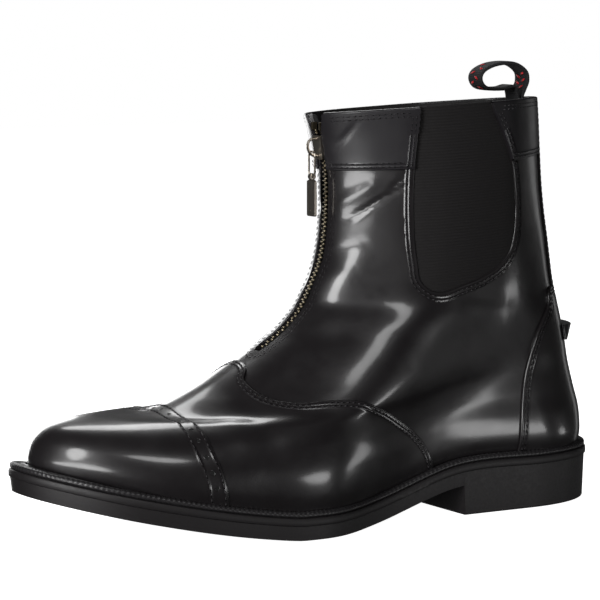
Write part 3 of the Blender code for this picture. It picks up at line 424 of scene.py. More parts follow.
def contour(u, v, value):
    """Vertices and polygons of the part of a grid where value is above zero, and the border's chains."""
    verts = []
    index = {}

    def corner(r, c):
        key = (r, c)
        if key not in index:
            index[key] = len(verts)
            verts.append((u[r, c], v[r, c]))
        return index[key]

    def crossing(r0, c0, r1, c1):
        key = (min((r0, c0), (r1, c1)), max((r0, c0), (r1, c1)))
        if key not in index:
            a = value[r0, c0]
            b = value[r1, c1]
            t = min(max(a / (a - b), 0.02), 0.98)
            index[key] = len(verts)
            verts.append((u[r0, c0] + (u[r1, c1] - u[r0, c0]) * t, v[r0, c0] + (v[r1, c1] - v[r0, c0]) * t))
        return index[key]

    keep = value > 0.0
    count = keep[:-1, :-1].astype(int) + keep[1:, :-1] + keep[:-1, 1:] + keep[1:, 1:]
    faces = []
    links = []
    for r, c in zip(*np.nonzero(count)):
        around = [(r, c), (r, c + 1), (r + 1, c + 1), (r + 1, c)]
        if count[r, c] == 4:
            faces.append(tuple(corner(*p) for p in around))
            continue
        polygon = []
        edge = []
        for k in range(4):
            here, ahead = around[k], around[(k + 1) % 4]
            if keep[here]:
                polygon.append(corner(*here))
            if keep[here] != keep[ahead]:
                cross = crossing(*here, *ahead)
                polygon.append(cross)
                edge.append((cross, keep[here]))
        if len(edge) == 2:
            faces.append(tuple(polygon))
            out = [i for i, leaving in edge if leaving][0]
            back = [i for i, leaving in edge if not leaving][0]
            links.append((out, back))
        else:
            faces.append(tuple(polygon))
    verts = np.array(verts)
    chains = []
    ahead = {a: b for a, b in links}
    behind = {b: a for a, b in links}
    left = set(ahead)
    while left:
        start = next(iter(sorted(left)))
        while start in behind and behind[start] in left:
            start = behind[start]
            if start == next(iter(sorted(left))):
                break
        chain = [start]
        while chain[-1] in ahead and chain[-1] in left:
            left.discard(chain[-1])
            chain.append(ahead[chain[-1]])
        if len(chain) > 8:
            chains.append(verts[chain])
    return verts, faces, chains


def even_chain(chain, spacing, smooth=2):
    """A chain of (u, v) resampled at even distances."""
    points = last_point(chain[:, 0], chain[:, 1])
    reach = np.concatenate([[0.0], np.cumsum(np.linalg.norm(np.diff(points, axis=0), axis=1))])
    count = max(int(round(reach[-1] / spacing)), 3)
    places = np.linspace(0.0, reach[-1], count + 1)
    made = np.stack([np.interp(places, reach, chain[:, 0]), np.interp(places, reach, chain[:, 1])], 1)
    for _ in range(smooth):
        made[1:-1] = 0.25 * made[:-2] + 0.5 * made[1:-1] + 0.25 * made[2:]
    return made


def chain_frame(chain):
    """Directions on the face, square to a chain."""
    points, normal, _ = skin(chain[:, 0], chain[:, 1])
    tangent = unit(np.gradient(points, axis=0))
    return unit(np.cross(tangent, normal))


def side_of(chain, region):
    """1 or -1: which side of the chain is inside the region."""
    around = chain[max(len(chain) // 2 - 2, 0):len(chain) // 2 + 3]
    inward = chain_frame(around)
    at = len(around) // 2
    u, v = walk(around[:, 0], around[:, 1], inward, 0.6 * MM)
    value = region(last_point(u, v))[at]
    return 1.0 if value > 0.0 else -1.0


class Seam:
    """A border of a region on the upper's face, with the way into the region."""

    def __init__(self, chain, region, spacing=1.0 * MM):
        self.chain = even_chain(chain, spacing)
        self.sign = side_of(self.chain, region)
        self.region = region

    def at(self, distance):
        """(u, v) and inward direction along a line at a distance inside the seam."""
        chain = self.chain.copy()
        steps = max(int(abs(distance) / (0.8 * MM)) + 1, 1)
        for _ in range(steps):
            inward = chain_frame(chain)
            u, v = walk(chain[:, 0], chain[:, 1], inward * self.sign, distance / steps)
            chain = np.stack([u, v], 1)
        return chain, chain_frame(chain) * self.sign


def trace(region, u_low, u_high, v_low=0.0, v_high=1.0, columns=520, rows=260):
    """Seams round a region on the upper's face."""
    u, v = make_grid(u_low, u_high, v_low, v_high, columns, rows)
    value = region(last_point(u, v))
    made = contour(u, v, value)
    return [Seam(chain, region) for chain in made[2]]


# Meshes

def add_mesh(name, verts, faces, material, smooth=True, normals=None):
    mesh = bpy.data.meshes.new(name)
    mesh.from_pydata([tuple(p) for p in verts], [], [tuple(int(i) for i in f) for f in faces])
    item = bpy.data.objects.new(name, mesh)
    bpy.context.scene.collection.objects.link(item)
    mesh.materials.append(material)
    if smooth:
        mesh.shade_smooth()
    if normals is not None:
        mesh.normals_split_custom_set_from_vertices([tuple(n) for n in normals])
    return item


class Pile:
    """Vertices, faces and normals gathered into one mesh."""

    def __init__(self):
        self.verts = []
        self.faces = []
        self.normals = []
        self.count = 0

    def add(self, verts, faces, normals):
        verts = np.asarray(verts, float).reshape(-1, 3)
        self.verts.append(verts)
        self.normals.append(np.asarray(normals, float).reshape(-1, 3))
        base = self.count
        self.faces += [tuple(i + base for i in face) for face in faces]
        self.count += len(verts)

    def grid(self, points, normals, closed=False, flip=False):
        """Adds a grid of points (rows, columns, 3)."""
        rows, columns = points.shape[:2]
        faces = []
        for r in range(rows - 1):
            for c in range(columns if closed else columns - 1):
                d = (c + 1) % columns
                face = (r * columns + c, r * columns + d, (r + 1) * columns + d, (r + 1) * columns + c)
                faces.append(face[::-1] if flip else face)
        self.add(points, faces, normals)

    def build(self, name, material):
        verts = np.concatenate(self.verts)
        normals = unit(np.concatenate(self.normals))
        item = add_mesh(name, verts, self.faces, material, True, None)
        turn_out(item, normals)
        item.data.normals_split_custom_set_from_vertices([tuple(n) for n in normals])
        return item


def turn_out(item, normals):
    """Turns each face so that it looks the way its vertices' normals do."""
    mesh = item.data
    flips = []
    for face in mesh.polygons:
        mean = normals[list(face.vertices)].sum(0)
        if face.normal.dot(Vector(mean)) < 0.0:
            flips.append(face)
    for face in flips:
        face.flip()
    mesh.update()


def edge_rows(top, radius, width, dips, foot=-0.2 * MM):
    """Rows across a panel's edge: distance inside, height, tilt in radians."""
    rows = [(0.0, foot, 0.5 * math.pi), (0.0, top - radius, 0.5 * math.pi)]
    for k in range(1, 5):
        angle = 0.5 * math.pi * (1.0 - k / 4)
        rows.append((radius * (1.0 - math.sin(angle)), top - radius * (1.0 - math.cos(angle)), angle))

    def height(d):
        dip = sum(np.exp(-((d - place) / (0.55 * MM))**2) for place in dips)
        swell = 0.10 * MM * np.exp(-((d - 0.9 * MM) / (0.8 * MM))**2)
        return top - 0.20 * MM * dip + swell - 0.10 * MM * np.exp(-((radius - 0.9 * MM) / (0.8 * MM))**2)

    steps = int((width - radius) / (0.42 * MM)) + 1
    for d in np.linspace(radius, width, steps + 1)[1:]:
        slope = (height(d + 0.05 * MM) - height(d - 0.05 * MM)) / (0.1 * MM)
        rows.append((d, float(height(d)), -math.atan(slope)))
    return rows


def add_edge(pile, seam, rows):
    """Adds a rolled edge along a seam."""
    points = []
    normals = []
    for distance, height, tilt in rows:
        chain, inward = seam.at(distance)
        place, normal, shaded = skin(chain[:, 0], chain[:, 1])
        points.append(place + normal * height)
        normals.append(shaded * math.cos(tilt) - inward * math.sin(tilt))
    pile.grid(np.array(points), np.array(normals))


def panel(name, region, seams, top, material, u_low, u_high, v_low, v_high, columns, rows,
          radius=0.5 * MM, width=4.6 * MM, dips=(1.4 * MM, 3.0 * MM), foot=-0.2 * MM):
    """A leather panel: its body clipped inside its seams and a rolled edge along each."""
    u, v = make_grid(u_low, u_high, v_low, v_high, columns, rows)
    points = last_point(u, v)
    value = region(points)
    for seam in seams:
        line = last_point(seam.chain[:, 0], seam.chain[:, 1])
        gap = np.full(value.shape, 1e9)
        close = value < 3.0 * width
        gap[close] = line_distance(points[close], line[::2])
        value = np.where(value > 0.0, np.minimum(value * 50.0, gap - width + 0.05 * MM), value)
    verts, faces, _ = contour(u, v, value)
    place, normal, shaded = skin(verts[:, 0], verts[:, 1])
    pile = Pile()
    pile.add(place + normal * top, faces, shaded)
    for seam in seams:
        add_edge(pile, seam, edge_rows(top, radius, width, dips, foot))
    return pile.build(name, material)


# Stitches

STITCHES = Pile()


def stitch_template(length, width):
    """A slim capsule along x, flattened a little."""
    around = 7
    shares = [-1.0, -0.86, -0.4, 0.4, 0.86, 1.0]
    radii = [0.05, 0.62, 1.0, 1.0, 0.62, 0.05]
    verts = []
    for share, radius in zip(shares, radii):
        for k in range(around):
            angle = 2.0 * math.pi * k / around
            verts.append((0.5 * length * share, 0.5 * width * radius * math.cos(angle),
                          0.5 * width * 0.8 * radius * math.sin(angle)))
    faces = []
    for i in range(len(shares) - 1):
        for j in range(around):
            k = (j + 1) % around
            faces.append((i * around + j, i * around + k, (i + 1) * around + k, (i + 1) * around + j))
    faces.append(tuple(range(around)))
    faces.append(tuple((len(shares) - 1) * around + j for j in range(around)))
    return np.array(verts), faces


def sew(pile, chain, lift, pitch=2.7 * MM, length=2.1 * MM, width=0.46 * MM, lean=0.10, skip=None):
    """Lays stitches along a chain of (u, v)."""
    even = even_chain(chain, pitch / 4.0, 1)
    points, normal, _ = skin(even[:, 0], even[:, 1])
    verts, faces = stitch_template(length, width)
    for i in range(2, len(even) - 2, 4):
        if skip is not None and skip(points[i]):
            continue
        ahead = points[i + 2] - points[i - 2]
        ahead = ahead / np.linalg.norm(ahead)
        up = normal[i]
        across = np.cross(up, ahead)
        lead = ahead + across * lean
        lead = lead / np.linalg.norm(lead)
        across = np.cross(up, lead)
        axes = np.stack([lead, across, up])
        made = verts @ axes
        pile.add(points[i] + up * lift + made, faces, made)


# Materials

def new_material(name):
    material = bpy.data.materials.new(name)
    material.use_nodes = True
    tree = material.node_tree
    return material, tree, tree.nodes["Principled BSDF"]


def noise(tree, scale, detail=3.0, roughness=0.5, stretch=None):
    coords = tree.nodes.new("ShaderNodeTexCoord")
    texture = tree.nodes.new("ShaderNodeTexNoise")
    texture.inputs["Scale"].default_value = scale
    texture.inputs["Detail"].default_value = detail
    texture.inputs["Roughness"].default_value = roughness
    if stretch:
        mapping = tree.nodes.new("ShaderNodeMapping")
        mapping.inputs["Scale"].default_value = stretch
        tree.links.new(coords.outputs["Object"], mapping.inputs["Vector"])
        tree.links.new(mapping.outputs["Vector"], texture.inputs["Vector"])
    else:
        tree.links.new(coords.outputs["Object"], texture.inputs["Vector"])
    return texture


def ramp(tree, source, low, high, from_low=0.3, from_high=0.7):
    """Maps a texture's value to a range."""
    node = tree.nodes.new("ShaderNodeMapRange")
    node.inputs["From Min"].default_value = from_low
    node.inputs["From Max"].default_value = from_high
    node.inputs["To Min"].default_value = low
    node.inputs["To Max"].default_value = high
    tree.links.new(source, node.inputs["Value"])
    return node.outputs["Result"]


def bump(tree, shader, layers):
    """Chains bumps of (height output, strength, distance in metres)."""
    last = None
    for height, strength, distance in layers:
        node = tree.nodes.new("ShaderNodeBump")
        node.inputs["Strength"].default_value = strength
        node.inputs["Distance"].default_value = distance
        tree.links.new(height, node.inputs["Height"])
        if last:
            tree.links.new(last, node.inputs["Normal"])
        last = node.outputs["Normal"]
    tree.links.new(last, shader.inputs["Normal"])
    return last


def leather_material(name, colour, rough, coat, grain=0.25):
    """Polished leather: fine pores, slight waves and a waxed coat."""
    material, tree, shader = new_material(name)
    shader.inputs["Base Color"].default_value = (*colour, 1.0)
    shader.inputs["Coat Weight"].default_value = coat
    shader.inputs["Coat Roughness"].default_value = 0.14
    shader.inputs["Specular IOR Level"].default_value = 0.32
    patches = noise(tree, 55.0, 4.0, 0.6)
    tree.links.new(ramp(tree, patches.outputs["Fac"], rough - 0.05, rough + 0.09), shader.inputs["Roughness"])
    coords = tree.nodes.new("ShaderNodeTexCoord")
    pores = tree.nodes.new("ShaderNodeTexVoronoi")
    pores.inputs["Scale"].default_value = 1500.0
    tree.links.new(coords.outputs["Object"], pores.inputs["Vector"])
    waves = noise(tree, 90.0, 3.0, 0.55)
    layers = [(waves.outputs["Fac"], 0.5, 0.25 * MM), (pores.outputs["Distance"], grain, 0.05 * MM)]
    bump(tree, shader, layers)
    return material


def plain_material(name, colour, rough, metallic=0.0, grain=None):
    material, tree, shader = new_material(name)
    shader.inputs["Base Color"].default_value = (*colour, 1.0)
    shader.inputs["Metallic"].default_value = metallic
    if not metallic:
        shader.inputs["Specular IOR Level"].default_value = 0.35
    if grain:
        scale, strength, distance = grain
        texture = noise(tree, scale, 4.0, 0.6)
        uneven = ramp(tree, texture.outputs["Fac"], rough - 0.06, rough + 0.08)
        tree.links.new(uneven, shader.inputs["Roughness"])
        bump(tree, shader, [(texture.outputs["Fac"], strength, distance)])
    else:
        shader.inputs["Roughness"].default_value = rough
    return material


LEATHER_LOOK = leather_material("polished_leather", (0.0075, 0.0064, 0.0070), 0.34, 0.55)
BAND_LOOK = leather_material("band_leather_look", (0.0085, 0.0074, 0.0090), 0.42, 0.25)
LINING_LOOK = plain_material("lining", (0.016, 0.015, 0.015), 0.7, grain=(600.0, 0.3, 0.1 * MM))
RUBBER_LOOK = plain_material("sole_rubber", (0.0090, 0.0078, 0.0084), 0.52, grain=(900.0, 0.25, 0.05 * MM))
WELT_LOOK = plain_material("welt_rubber", (0.014, 0.013, 0.014), 0.36, grain=(900.0, 0.25, 0.05 * MM))
THREAD_LOOK = plain_material("thread", (0.020, 0.018, 0.020), 0.55, grain=(2500.0, 0.4, 0.05 * MM))
ELASTIC_LOOK = plain_material("elastic_rib", (0.0045, 0.0036, 0.0038), 0.85, grain=(1500.0, 0.4, 0.06 * MM))
TAPE_LOOK = plain_material("zip_tape_look", (0.009, 0.009, 0.009), 0.85, grain=(1500.0, 0.5, 0.06 * MM))
BRASS_LOOK = plain_material("antique_brass", (0.26, 0.22, 0.15), 0.36, 1.0, grain=(700.0, 0.2, 0.05 * MM))
NICKEL_LOOK = plain_material("antique_nickel", (0.42, 0.38, 0.33), 0.33, 1.0, grain=(700.0, 0.25, 0.05 * MM))
WEBBING_LOOK = plain_material("webbing_look", (0.010, 0.010, 0.011), 0.8, grain=(1600.0, 0.4, 0.08 * MM))
RED_LOOK = plain_material("red_thread", (0.42, 0.012, 0.016), 0.7)
# Near black matte for the discs in the punched holes: painted shade, not a colour of the boot.
HOLE_SHADE_LOOK = plain_material("painted_hole_shade", (0.002, 0.002, 0.002), 0.9)
BOARD_LOOK = plain_material("sock_board", (0.045, 0.038, 0.032), 0.8, grain=(500.0, 0.3, 0.1 * MM))


def place(item, slot, body="root", *nodes):
    """Puts a finished piece on its body and hides the nodes that it stands for; slot is not used."""
    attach(item, body)
    if nodes:
        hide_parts(*nodes)
    return item


# Seams traced once

def spread(region, sign=1.0):
    return lambda points: sign * region(points)


cap_seams = trace(cap_region, 0.05, 0.95)
wing_seams = trace(wing_region, 0.05, 0.95)
counter_seams = trace(counter_region, -0.45, 0.45)
gore_out_seams = trace(spread(gore_region, -1.0), 0.02, 0.48)
gore_in_seams = trace(spread(gore_region, -1.0), 0.52, 0.98)
slit_seams = trace(spread(slit_region, -1.0), 0.38, 0.62, columns=360)


# The upper

QUARTER_ROWS = (2.2 * MM, 3.9 * MM)
BAND_ROWS = (1.4 * MM, 3.1 * MM)


def quarters_region(points):
    return -np.maximum(gore_region(points), slit_region(points))


def vamp_region(points):
    under_cap = -cap_region(points) + 3.0 * MM
    return np.minimum(np.minimum(wing_region(points), under_cap), -slit_region(points))


def front_band_region(points):
    clear = np.minimum(-gore_region(points) - 0.2 * MM, -slit_region(points))
    front = np.where(points[..., 1] < GORE_EDGE[5][0] * LENGTH, 1.0, -1.0)
    return np.minimum(np.minimum(band_region(points), clear), front)


def back_band_region(points):
    back = np.where(points[..., 1] > GORE_EDGE[5][0] * LENGTH, 1.0, -1.0)
    return np.minimum(np.minimum(band_region(points), -gore_region(points) - 0.2 * MM), back)


def back_strip_region(points):
    above_counter = -counter_region(points) + 2.0 * MM
    return np.minimum(strip_region(points), above_counter)


def crop(seam, test):
    """The longest run of a seam's chain where a test on its points holds, as a seam of its own."""
    points = last_point(seam.chain[:, 0], seam.chain[:, 1])
    good = test(points)
    best = (0, 0)
    start = None
    for i, ok in enumerate(list(good) + [False]):
        if ok and start is None:
            start = i
        if not ok and start is not None:
            if i - start > best[1] - best[0]:
                best = (start, i)
            start = None
    made = Seam.__new__(Seam)
    made.chain = seam.chain[best[0]:best[1]]
    made.sign = seam.sign
    made.region = seam.region
    return made


def make_quarters():
    seams = gore_out_seams + gore_in_seams
    item = panel("quarters", quarters_region, seams + slit_seams, 0.0, LEATHER_LOOK,
                 0.0, 1.0, 0.0, 1.0, 400, 190, radius=0.8 * MM, width=5.2 * MM, dips=QUARTER_ROWS,
                 foot=-LEATHER)
    place(item, "leather", "root", "upper")
    for seam in seams:
        for distance in QUARTER_ROWS:
            sew(STITCHES, seam.at(distance)[0], -0.04 * MM, skip=lambda p: band_region(p) > -0.5 * MM)
    for seam in slit_seams:
        for distance in QUARTER_ROWS:
            sew(STITCHES, seam.at(distance)[0], -0.04 * MM,
                skip=lambda p: band_region(p) > -0.5 * MM or wing_region(p) > -1.0 * MM)


def make_vamp():
    item = panel("vamp_leather", vamp_region, wing_seams, VAMP_TOP, LEATHER_LOOK,
                 0.14, 0.86, 0.015, 0.75, 330, 190)
    place(item, "leather", "root", "vamp")
    for seam in wing_seams:
        for distance in (1.4 * MM, 3.0 * MM):
            sew(STITCHES, seam.at(distance)[0], VAMP_TOP - 0.05 * MM,
                skip=lambda p: slit_region(p) > -1.0 * MM)


def make_cap():
    item = panel("cap_leather", cap_region, cap_seams, CAP_TOP, LEATHER_LOOK, 0.2, 0.8, 0.015, 0.6, 300, 170,
                 width=9.5 * MM, dips=(1.5 * MM, 7.9 * MM))
    place(item, "leather", "root", "toe_cap")
    for seam in cap_seams:
        for distance in (1.5 * MM, 7.9 * MM):
            sew(STITCHES, seam.at(distance)[0], CAP_TOP - 0.05 * MM)


def make_counter():
    item = panel("counter_leather", counter_region, counter_seams, COUNTER_TOP, LEATHER_LOOK, -0.30, 0.30,
                 0.015, 0.65, 300, 130, radius=0.8 * MM)
    place(item, "leather", "root", "counter")
    for seam in counter_seams:
        for distance in (1.6 * MM, 3.2 * MM):
            sew(STITCHES, seam.at(distance)[0], COUNTER_TOP - 0.05 * MM)


def moved(seam, distance):
    """A seam moved into its region."""
    made = Seam.__new__(Seam)
    made.chain = seam.at(distance)[0]
    made.sign = seam.sign
    made.region = seam.region
    return made


def make_bands():
    lower = trace(band_region, 0.0, 1.0, 0.7, 1.0, 700, 200)[0]
    middle_y = GORE_EDGE[5][0] * LENGTH
    spots = [
        ("front_outer", 0.20, 0.5, 1.0, False),
        ("front_inner", 0.5, 0.80, -1.0, False),
        ("back_outer", 0.0, 0.30, 1.0, True),
        ("back_inner", 0.7, 1.0, -1.0, True),
    ]
    for name, u_low, u_high, side, back in spots:
        region = back_band_region if back else front_band_region
        way = 1.0 if back else -1.0
        gore = moved((gore_out_seams if side > 0 else gore_in_seams)[0], 0.2 * MM)
        bottom = crop(lower, lambda p: (region(p) > -0.5 * MM) & (p[:, 0] * side > 0.0)
                      & (way * (p[:, 1] - middle_y) > 0.0) & (~strip_test(p)))
        by_gore = crop(gore, lambda p: (band_region(p) > 0.0) & (way * (p[:, 1] - middle_y) > 0.0))
        uprights = [by_gore]
        if not back:
            uprights.append(crop(slit_seams[0], lambda p: (band_region(p) > 0.0)
                                 & (side * (p[:, 0] - zip_middle()) > 0.0)))
        item = panel("collar_band_leather_" + name, region, [bottom] + uprights, BAND_TOP, BAND_LOOK,
                     u_low, u_high, 0.7, 1.0, 150, 70, radius=0.6 * MM, width=4.2 * MM, dips=BAND_ROWS)
        place(item, "band_leather", "root", "collar_band_" + name)
        for distance in BAND_ROWS:
            sew(STITCHES, bottom.at(distance)[0], BAND_TOP - 0.05 * MM)
            sew(STITCHES, by_gore.at(distance)[0], BAND_TOP - 0.05 * MM,
                skip=lambda p: collar_drop(p) < 1.5 * MM)
        fine = np.linspace(u_low, u_high, 400)
        for drop in (1.7 * MM, 3.4 * MM):
            points = last_point(fine, np.ones(400))
            rise = points - last_point(fine, np.full(400, 0.99))
            v = 1.0 - 0.01 * drop / np.linalg.norm(rise, axis=1)
            sew(STITCHES, np.stack([fine, v], 1), BAND_TOP,
                skip=lambda p: region(p) < 4.2 * MM or strip_test(p))


def strip_test(points):
    """Whether points lie under the back strip."""
    return strip_region(points) > -0.5 * MM


def make_back_strip():
    seams = trace(back_strip_region, -0.2, 0.2, 0.4, 1.0, 300, 300)
    edges = []
    for seam in seams:
        for side in (1.0, -1.0):
            edges.append(crop(seam, lambda p: (p[:, 0] * side > 0.9 * STRIP_HALF)
                              & (counter_region(p) < 1.0 * MM)))
    item = panel("back_strip_leather", back_strip_region, edges, STRIP_TOP, LEATHER_LOOK, -0.2, 0.2, 0.4, 1.0,
                 90, 130, width=4.4 * MM)
    place(item, "band_leather", "root", "back_strip")
    for seam in edges:
        for distance in (1.4 * MM, 3.0 * MM):
            sew(STITCHES, seam.at(distance)[0], STRIP_TOP - 0.05 * MM,
                skip=lambda p: counter_region(p) > -1.0 * MM)


RIB_HEIGHT = 0.065 * MM


def make_gores():
    """Elastic with fine level ribs, a little behind the leather's face."""
    rib = 1.35 * MM
    for name, u_low, u_high in (("outer", 0.08, 0.42), ("inner", 0.58, 0.92)):
        u, v = make_grid(u_low, u_high, 0.45, 1.0, 46, 420)
        value = gore_region(last_point(u, v)) + 1.5 * MM
        verts, faces, _ = contour(u, v, value)
        base, normal, shaded = skin(verts[:, 0], verts[:, 1])
        phase = 2.0 * math.pi * collar_drop(base) / rib
        height = -GORE_DEPTH + RIB_HEIGHT * np.sin(phase)
        slope = -RIB_HEIGHT * np.cos(phase) * 2.0 * math.pi / rib
        up = np.array([0.0, 0.0, 1.0])
        pile = Pile()
        pile.add(base + normal * height[:, None], faces, shaded - up * slope[:, None])
        item = pile.build("gore_elastic_" + name, ELASTIC_LOOK)
        place(item, "elastic", "root", "gore_" + name)


def make_lining():
    u, v = make_grid(0.0, 1.0, 0.02, 1.0, 220, 90)
    verts, faces, _ = contour(u, v, -slit_region(last_point(u, v)))
    base, normal, shaded = skin(verts[:, 0], verts[:, 1])
    pile = Pile()
    pile.add(base - normal * LEATHER, faces, -shaded)
    place(pile.build("lining", LINING_LOOK), "leather")


def make_collar_rim():
    """Turned edge over the top of the leather, the band and the elastic."""
    u = np.linspace(0.0, 1.0, 900)
    top = last_point(u, np.ones(900))
    flat = top.copy()
    leather = (-slit_region(flat) > 0.0)
    elastic = gore_region(flat) > -0.2 * MM
    back = np.abs(flat[:, 0]) < STRIP_HALF
    rise = unit(top - last_point(u, np.full(900, 0.985)))
    _, normal, _ = skin(u, np.ones(900))
    for name, test, slot, look in (("collar_edge", leather & ~elastic, "band_leather", BAND_LOOK),
                                   ("gore_edge", leather & elastic, "elastic", ELASTIC_LOOK)):
        pile = Pile()
        runs = np.flatnonzero(np.diff(np.concatenate([[0], test.astype(int), [0]])))
        for start, end in zip(runs[::2], runs[1::2]):
            pick = slice(start, end)
            high = np.where(back[pick] & (flat[pick, 1] > 0.05), STRIP_TOP, BAND_TOP)
            if slot == "elastic":
                high = np.full(end - start, -GORE_DEPTH + 0.1 * MM)
            middle = 0.5 * (high - LEATHER)
            half = 0.5 * (high + LEATHER)
            points = []
            normals = []
            for k in range(11):
                angle = math.pi * k / 10
                tall = 0.75 * MM * math.sin(angle)
                out = middle + half * math.cos(angle)
                points.append(top[pick] + normal[pick] * out[:, None] + rise[pick] * (tall - 0.15 * MM))
                normals.append(normal[pick] * math.cos(angle) + rise[pick] * math.sin(angle))
            pile.grid(np.array(points), np.array(normals))
        place(pile.build(name, look), slot)


def make_holes():
    """Punched holes across the cap: a pressed rim round a near black disc, painted shade for the hole's
    inside.
    """
    pile = Pile()
    shade_discs = Pile()
    chain = even_chain(cap_seams[0].at(4.7 * MM)[0], 1.0 * MM)
    points, normal, _ = skin(chain[:, 0], chain[:, 1])
    pitch = 7.4
    steps = np.arange(0.5 * pitch, len(chain) - 2, pitch).astype(int)
    for i in steps:
        up = normal[i]
        ahead = unit(points[i + 1] - points[i - 1])
        across = np.cross(up, ahead)
        rows = [(1.25, 0.00, 0.35), (1.05, 0.07, 0.1), (0.92, 0.03, -0.6), (0.86, -0.02, -0.9)]
        ring = []
        tilt = []
        for radius, lift, lean in rows:
            angles = 2.0 * math.pi * np.arange(20) / 20
            out = np.cos(angles)[:, None] * ahead + np.sin(angles)[:, None] * across
            ring.append(points[i] + up * (CAP_TOP + lift * MM) + out * radius * MM)
            tilt.append(up * math.cos(lean) + out * math.sin(lean))
        pile.grid(np.array(ring), np.array(tilt), closed=True)
        # A near black disc at the foot of each rim: painted shade where the hole goes down.
        disc = ring[-1]
        shade_discs.add(np.concatenate([disc, [disc.mean(0)]]), [(k, (k + 1) % 20, 20) for k in range(20)],
                 np.tile(up, (21, 1)))
    place(pile.build("punch_rims", LEATHER_LOOK), "leather")
    place(shade_discs.build("punch_hole_shade", HOLE_SHADE_LOOK), "leather")


make_quarters()
make_vamp()
make_cap()
make_counter()
make_bands()
make_back_strip()
make_gores()
make_lining()
make_collar_rim()
make_holes()


# The sole

def sole_turns(count, gap_share=0.4):
    """Places round the sole, with a pair at the heel's breast."""
    breast = HEEL_LENGTH / LENGTH
    turns = [math.acos(1.0 - 2.0 * share) for share in (breast, breast + BREAST_LEAN / LENGTH)]
    even = np.linspace(0.0, math.pi, count // 2 + 1)
    near = gap_share * math.pi / (count // 2)
    kept = [turn for turn in even if min(abs(turn - turns[0]), abs(turn - turns[1])) > near]
    half = np.array(sorted(kept + turns))
    return np.concatenate([half, 2.0 * math.pi - half[-2:0:-1]])


def make_outsole():
    """Unit sole and heel with a lip round its top, and its underside."""
    turn = sole_turns(320)
    count = len(turn)
    s = (1.0 - np.cos(turn)) / 2.0
    y = LENGTH * (0.5 - s)
    top = rim_height(y)
    under = top - FOREPART_THICKNESS
    in_heel = s <= HEEL_LENGTH / LENGTH + 1e-6
    drop = BALL_RIM - FOREPART_THICKNESS
    bottom = np.where(in_heel, 0.0, np.maximum(under - drop, 0.0))
    bevel = np.where(in_heel, HEEL_BEVEL, EDGE_BEVEL)
    edge = np.where(in_heel, HEEL_BEVEL, under)
    rows = [(4.0 * MM, top), (WELT_INSET + 0.5 * MM, top), (WELT_INSET, top - 0.15 * MM),
            (0.25 * MM, top - 0.35 * MM), (0.0, top - 0.9 * MM), (0.0, top - RIM_BAND),
            (0.15 * MM, top - RIM_BAND - 0.25 * MM), (RIM_STEP, top - RIM_BAND - 0.55 * MM),
            (RIM_STEP, top - RIM_BAND - 1.0 * MM)]
    for k in range(5):
        angle = 0.5 * math.pi * k / 4
        rows.append((EDGE_TAPER + bevel * (1.0 - math.cos(angle)), edge + (bottom - edge) * math.sin(angle)))
    verts = []
    for inset, z in rows:
        flat = inset_outline(turn, inset)
        verts.append(np.concatenate([flat, np.broadcast_to(z, (count,))[:, None]], 1))
    verts = np.concatenate(verts)
    faces = []
    for i in range(len(rows) - 1):
        for j in range(count):
            k = (j + 1) % count
            faces.append((i * count + k, i * count + j, (i + 1) * count + j, (i + 1) * count + k))
    last = (len(rows) - 1) * count
    for j in range(count // 2):
        quad = [j, j + 1, (count - j - 1) % count, (count - j) % count]
        quad = [last + k for n, k in enumerate(quad) if k not in quad[:n]]
        faces.append(tuple(quad))
        quad = [j, j + 1, (count - j - 1) % count, (count - j) % count]
        quad = [k for n, k in enumerate(quad) if k not in quad[:n]]
        faces.append(tuple(quad[::-1]))
    item = add_mesh("sole_unit", verts, faces, RUBBER_LOOK)
    make_consistent(item)
    item.data.set_sharp_from_angle(angle=math.radians(32))
    place(item, "outsole_rubber", "root", "outsole")


def make_consistent(item):
    work = bmesh.new()
    work.from_mesh(item.data)
    bmesh.ops.recalc_face_normals(work, faces=work.faces)
    work.to_mesh(item.data)
    work.free()


def make_welt():
    """Strip round the foot of the upper, with moulded stitches on its top."""
    pitch = 2.3 * MM
    turn = np.linspace(0.0, 2.0 * math.pi, 2601)[:-1]
    flat = inset_outline(turn, 0.0)
    reach = np.concatenate([[0.0], np.cumsum(np.linalg.norm(np.diff(flat, axis=0), axis=1))])
    total = reach[-1] + np.linalg.norm(flat[0] - flat[-1])
    places = np.linspace(0.0, total, int(total / pitch) * 4 + 1)[:-1]
    turn = np.interp(places, reach, turn)
    count = len(turn)
    wave = np.where(np.arange(count) % 4 < 2, 1.0, -1.0)
    base = rim_height(LENGTH * (0.5 - (1.0 - np.cos(turn)) / 2.0))
    profile = [(1.6, 0.0, 0.0), (1.1, 0.25, 0.0), (0.75, 0.5, 0.05), (0.62, 1.0, 0.10), (0.66, 1.7, 0.16),
               (0.95, 2.25, 0.20), (1.5, 2.55, 0.20), (2.6, 2.70, 0.20), (3.6, 2.62, 0.14), (4.4, 2.3, 0.0),
               (5.6, 2.0, 0.0), (7.0, 2.0, 0.0)]
    loops = []
    for inset, rise, depth in profile:
        ring = inset_outline(turn, inset * MM - wave * depth * MM * 0.5)
        z = base + rise * MM + wave * depth * MM * 0.5
        loops.append(np.concatenate([ring, z[:, None]], 1))
    verts = np.concatenate(loops)
    faces = []
    for i in range(len(loops) - 1):
        for j in range(count):
            k = (j + 1) % count
            faces.append((i * count + j, i * count + k, (i + 1) * count + k, (i + 1) * count + j))
    item = add_mesh("welt_strip", verts, faces, WELT_LOOK)
    make_consistent(item)
    place(item, "welt", "root", "welt")


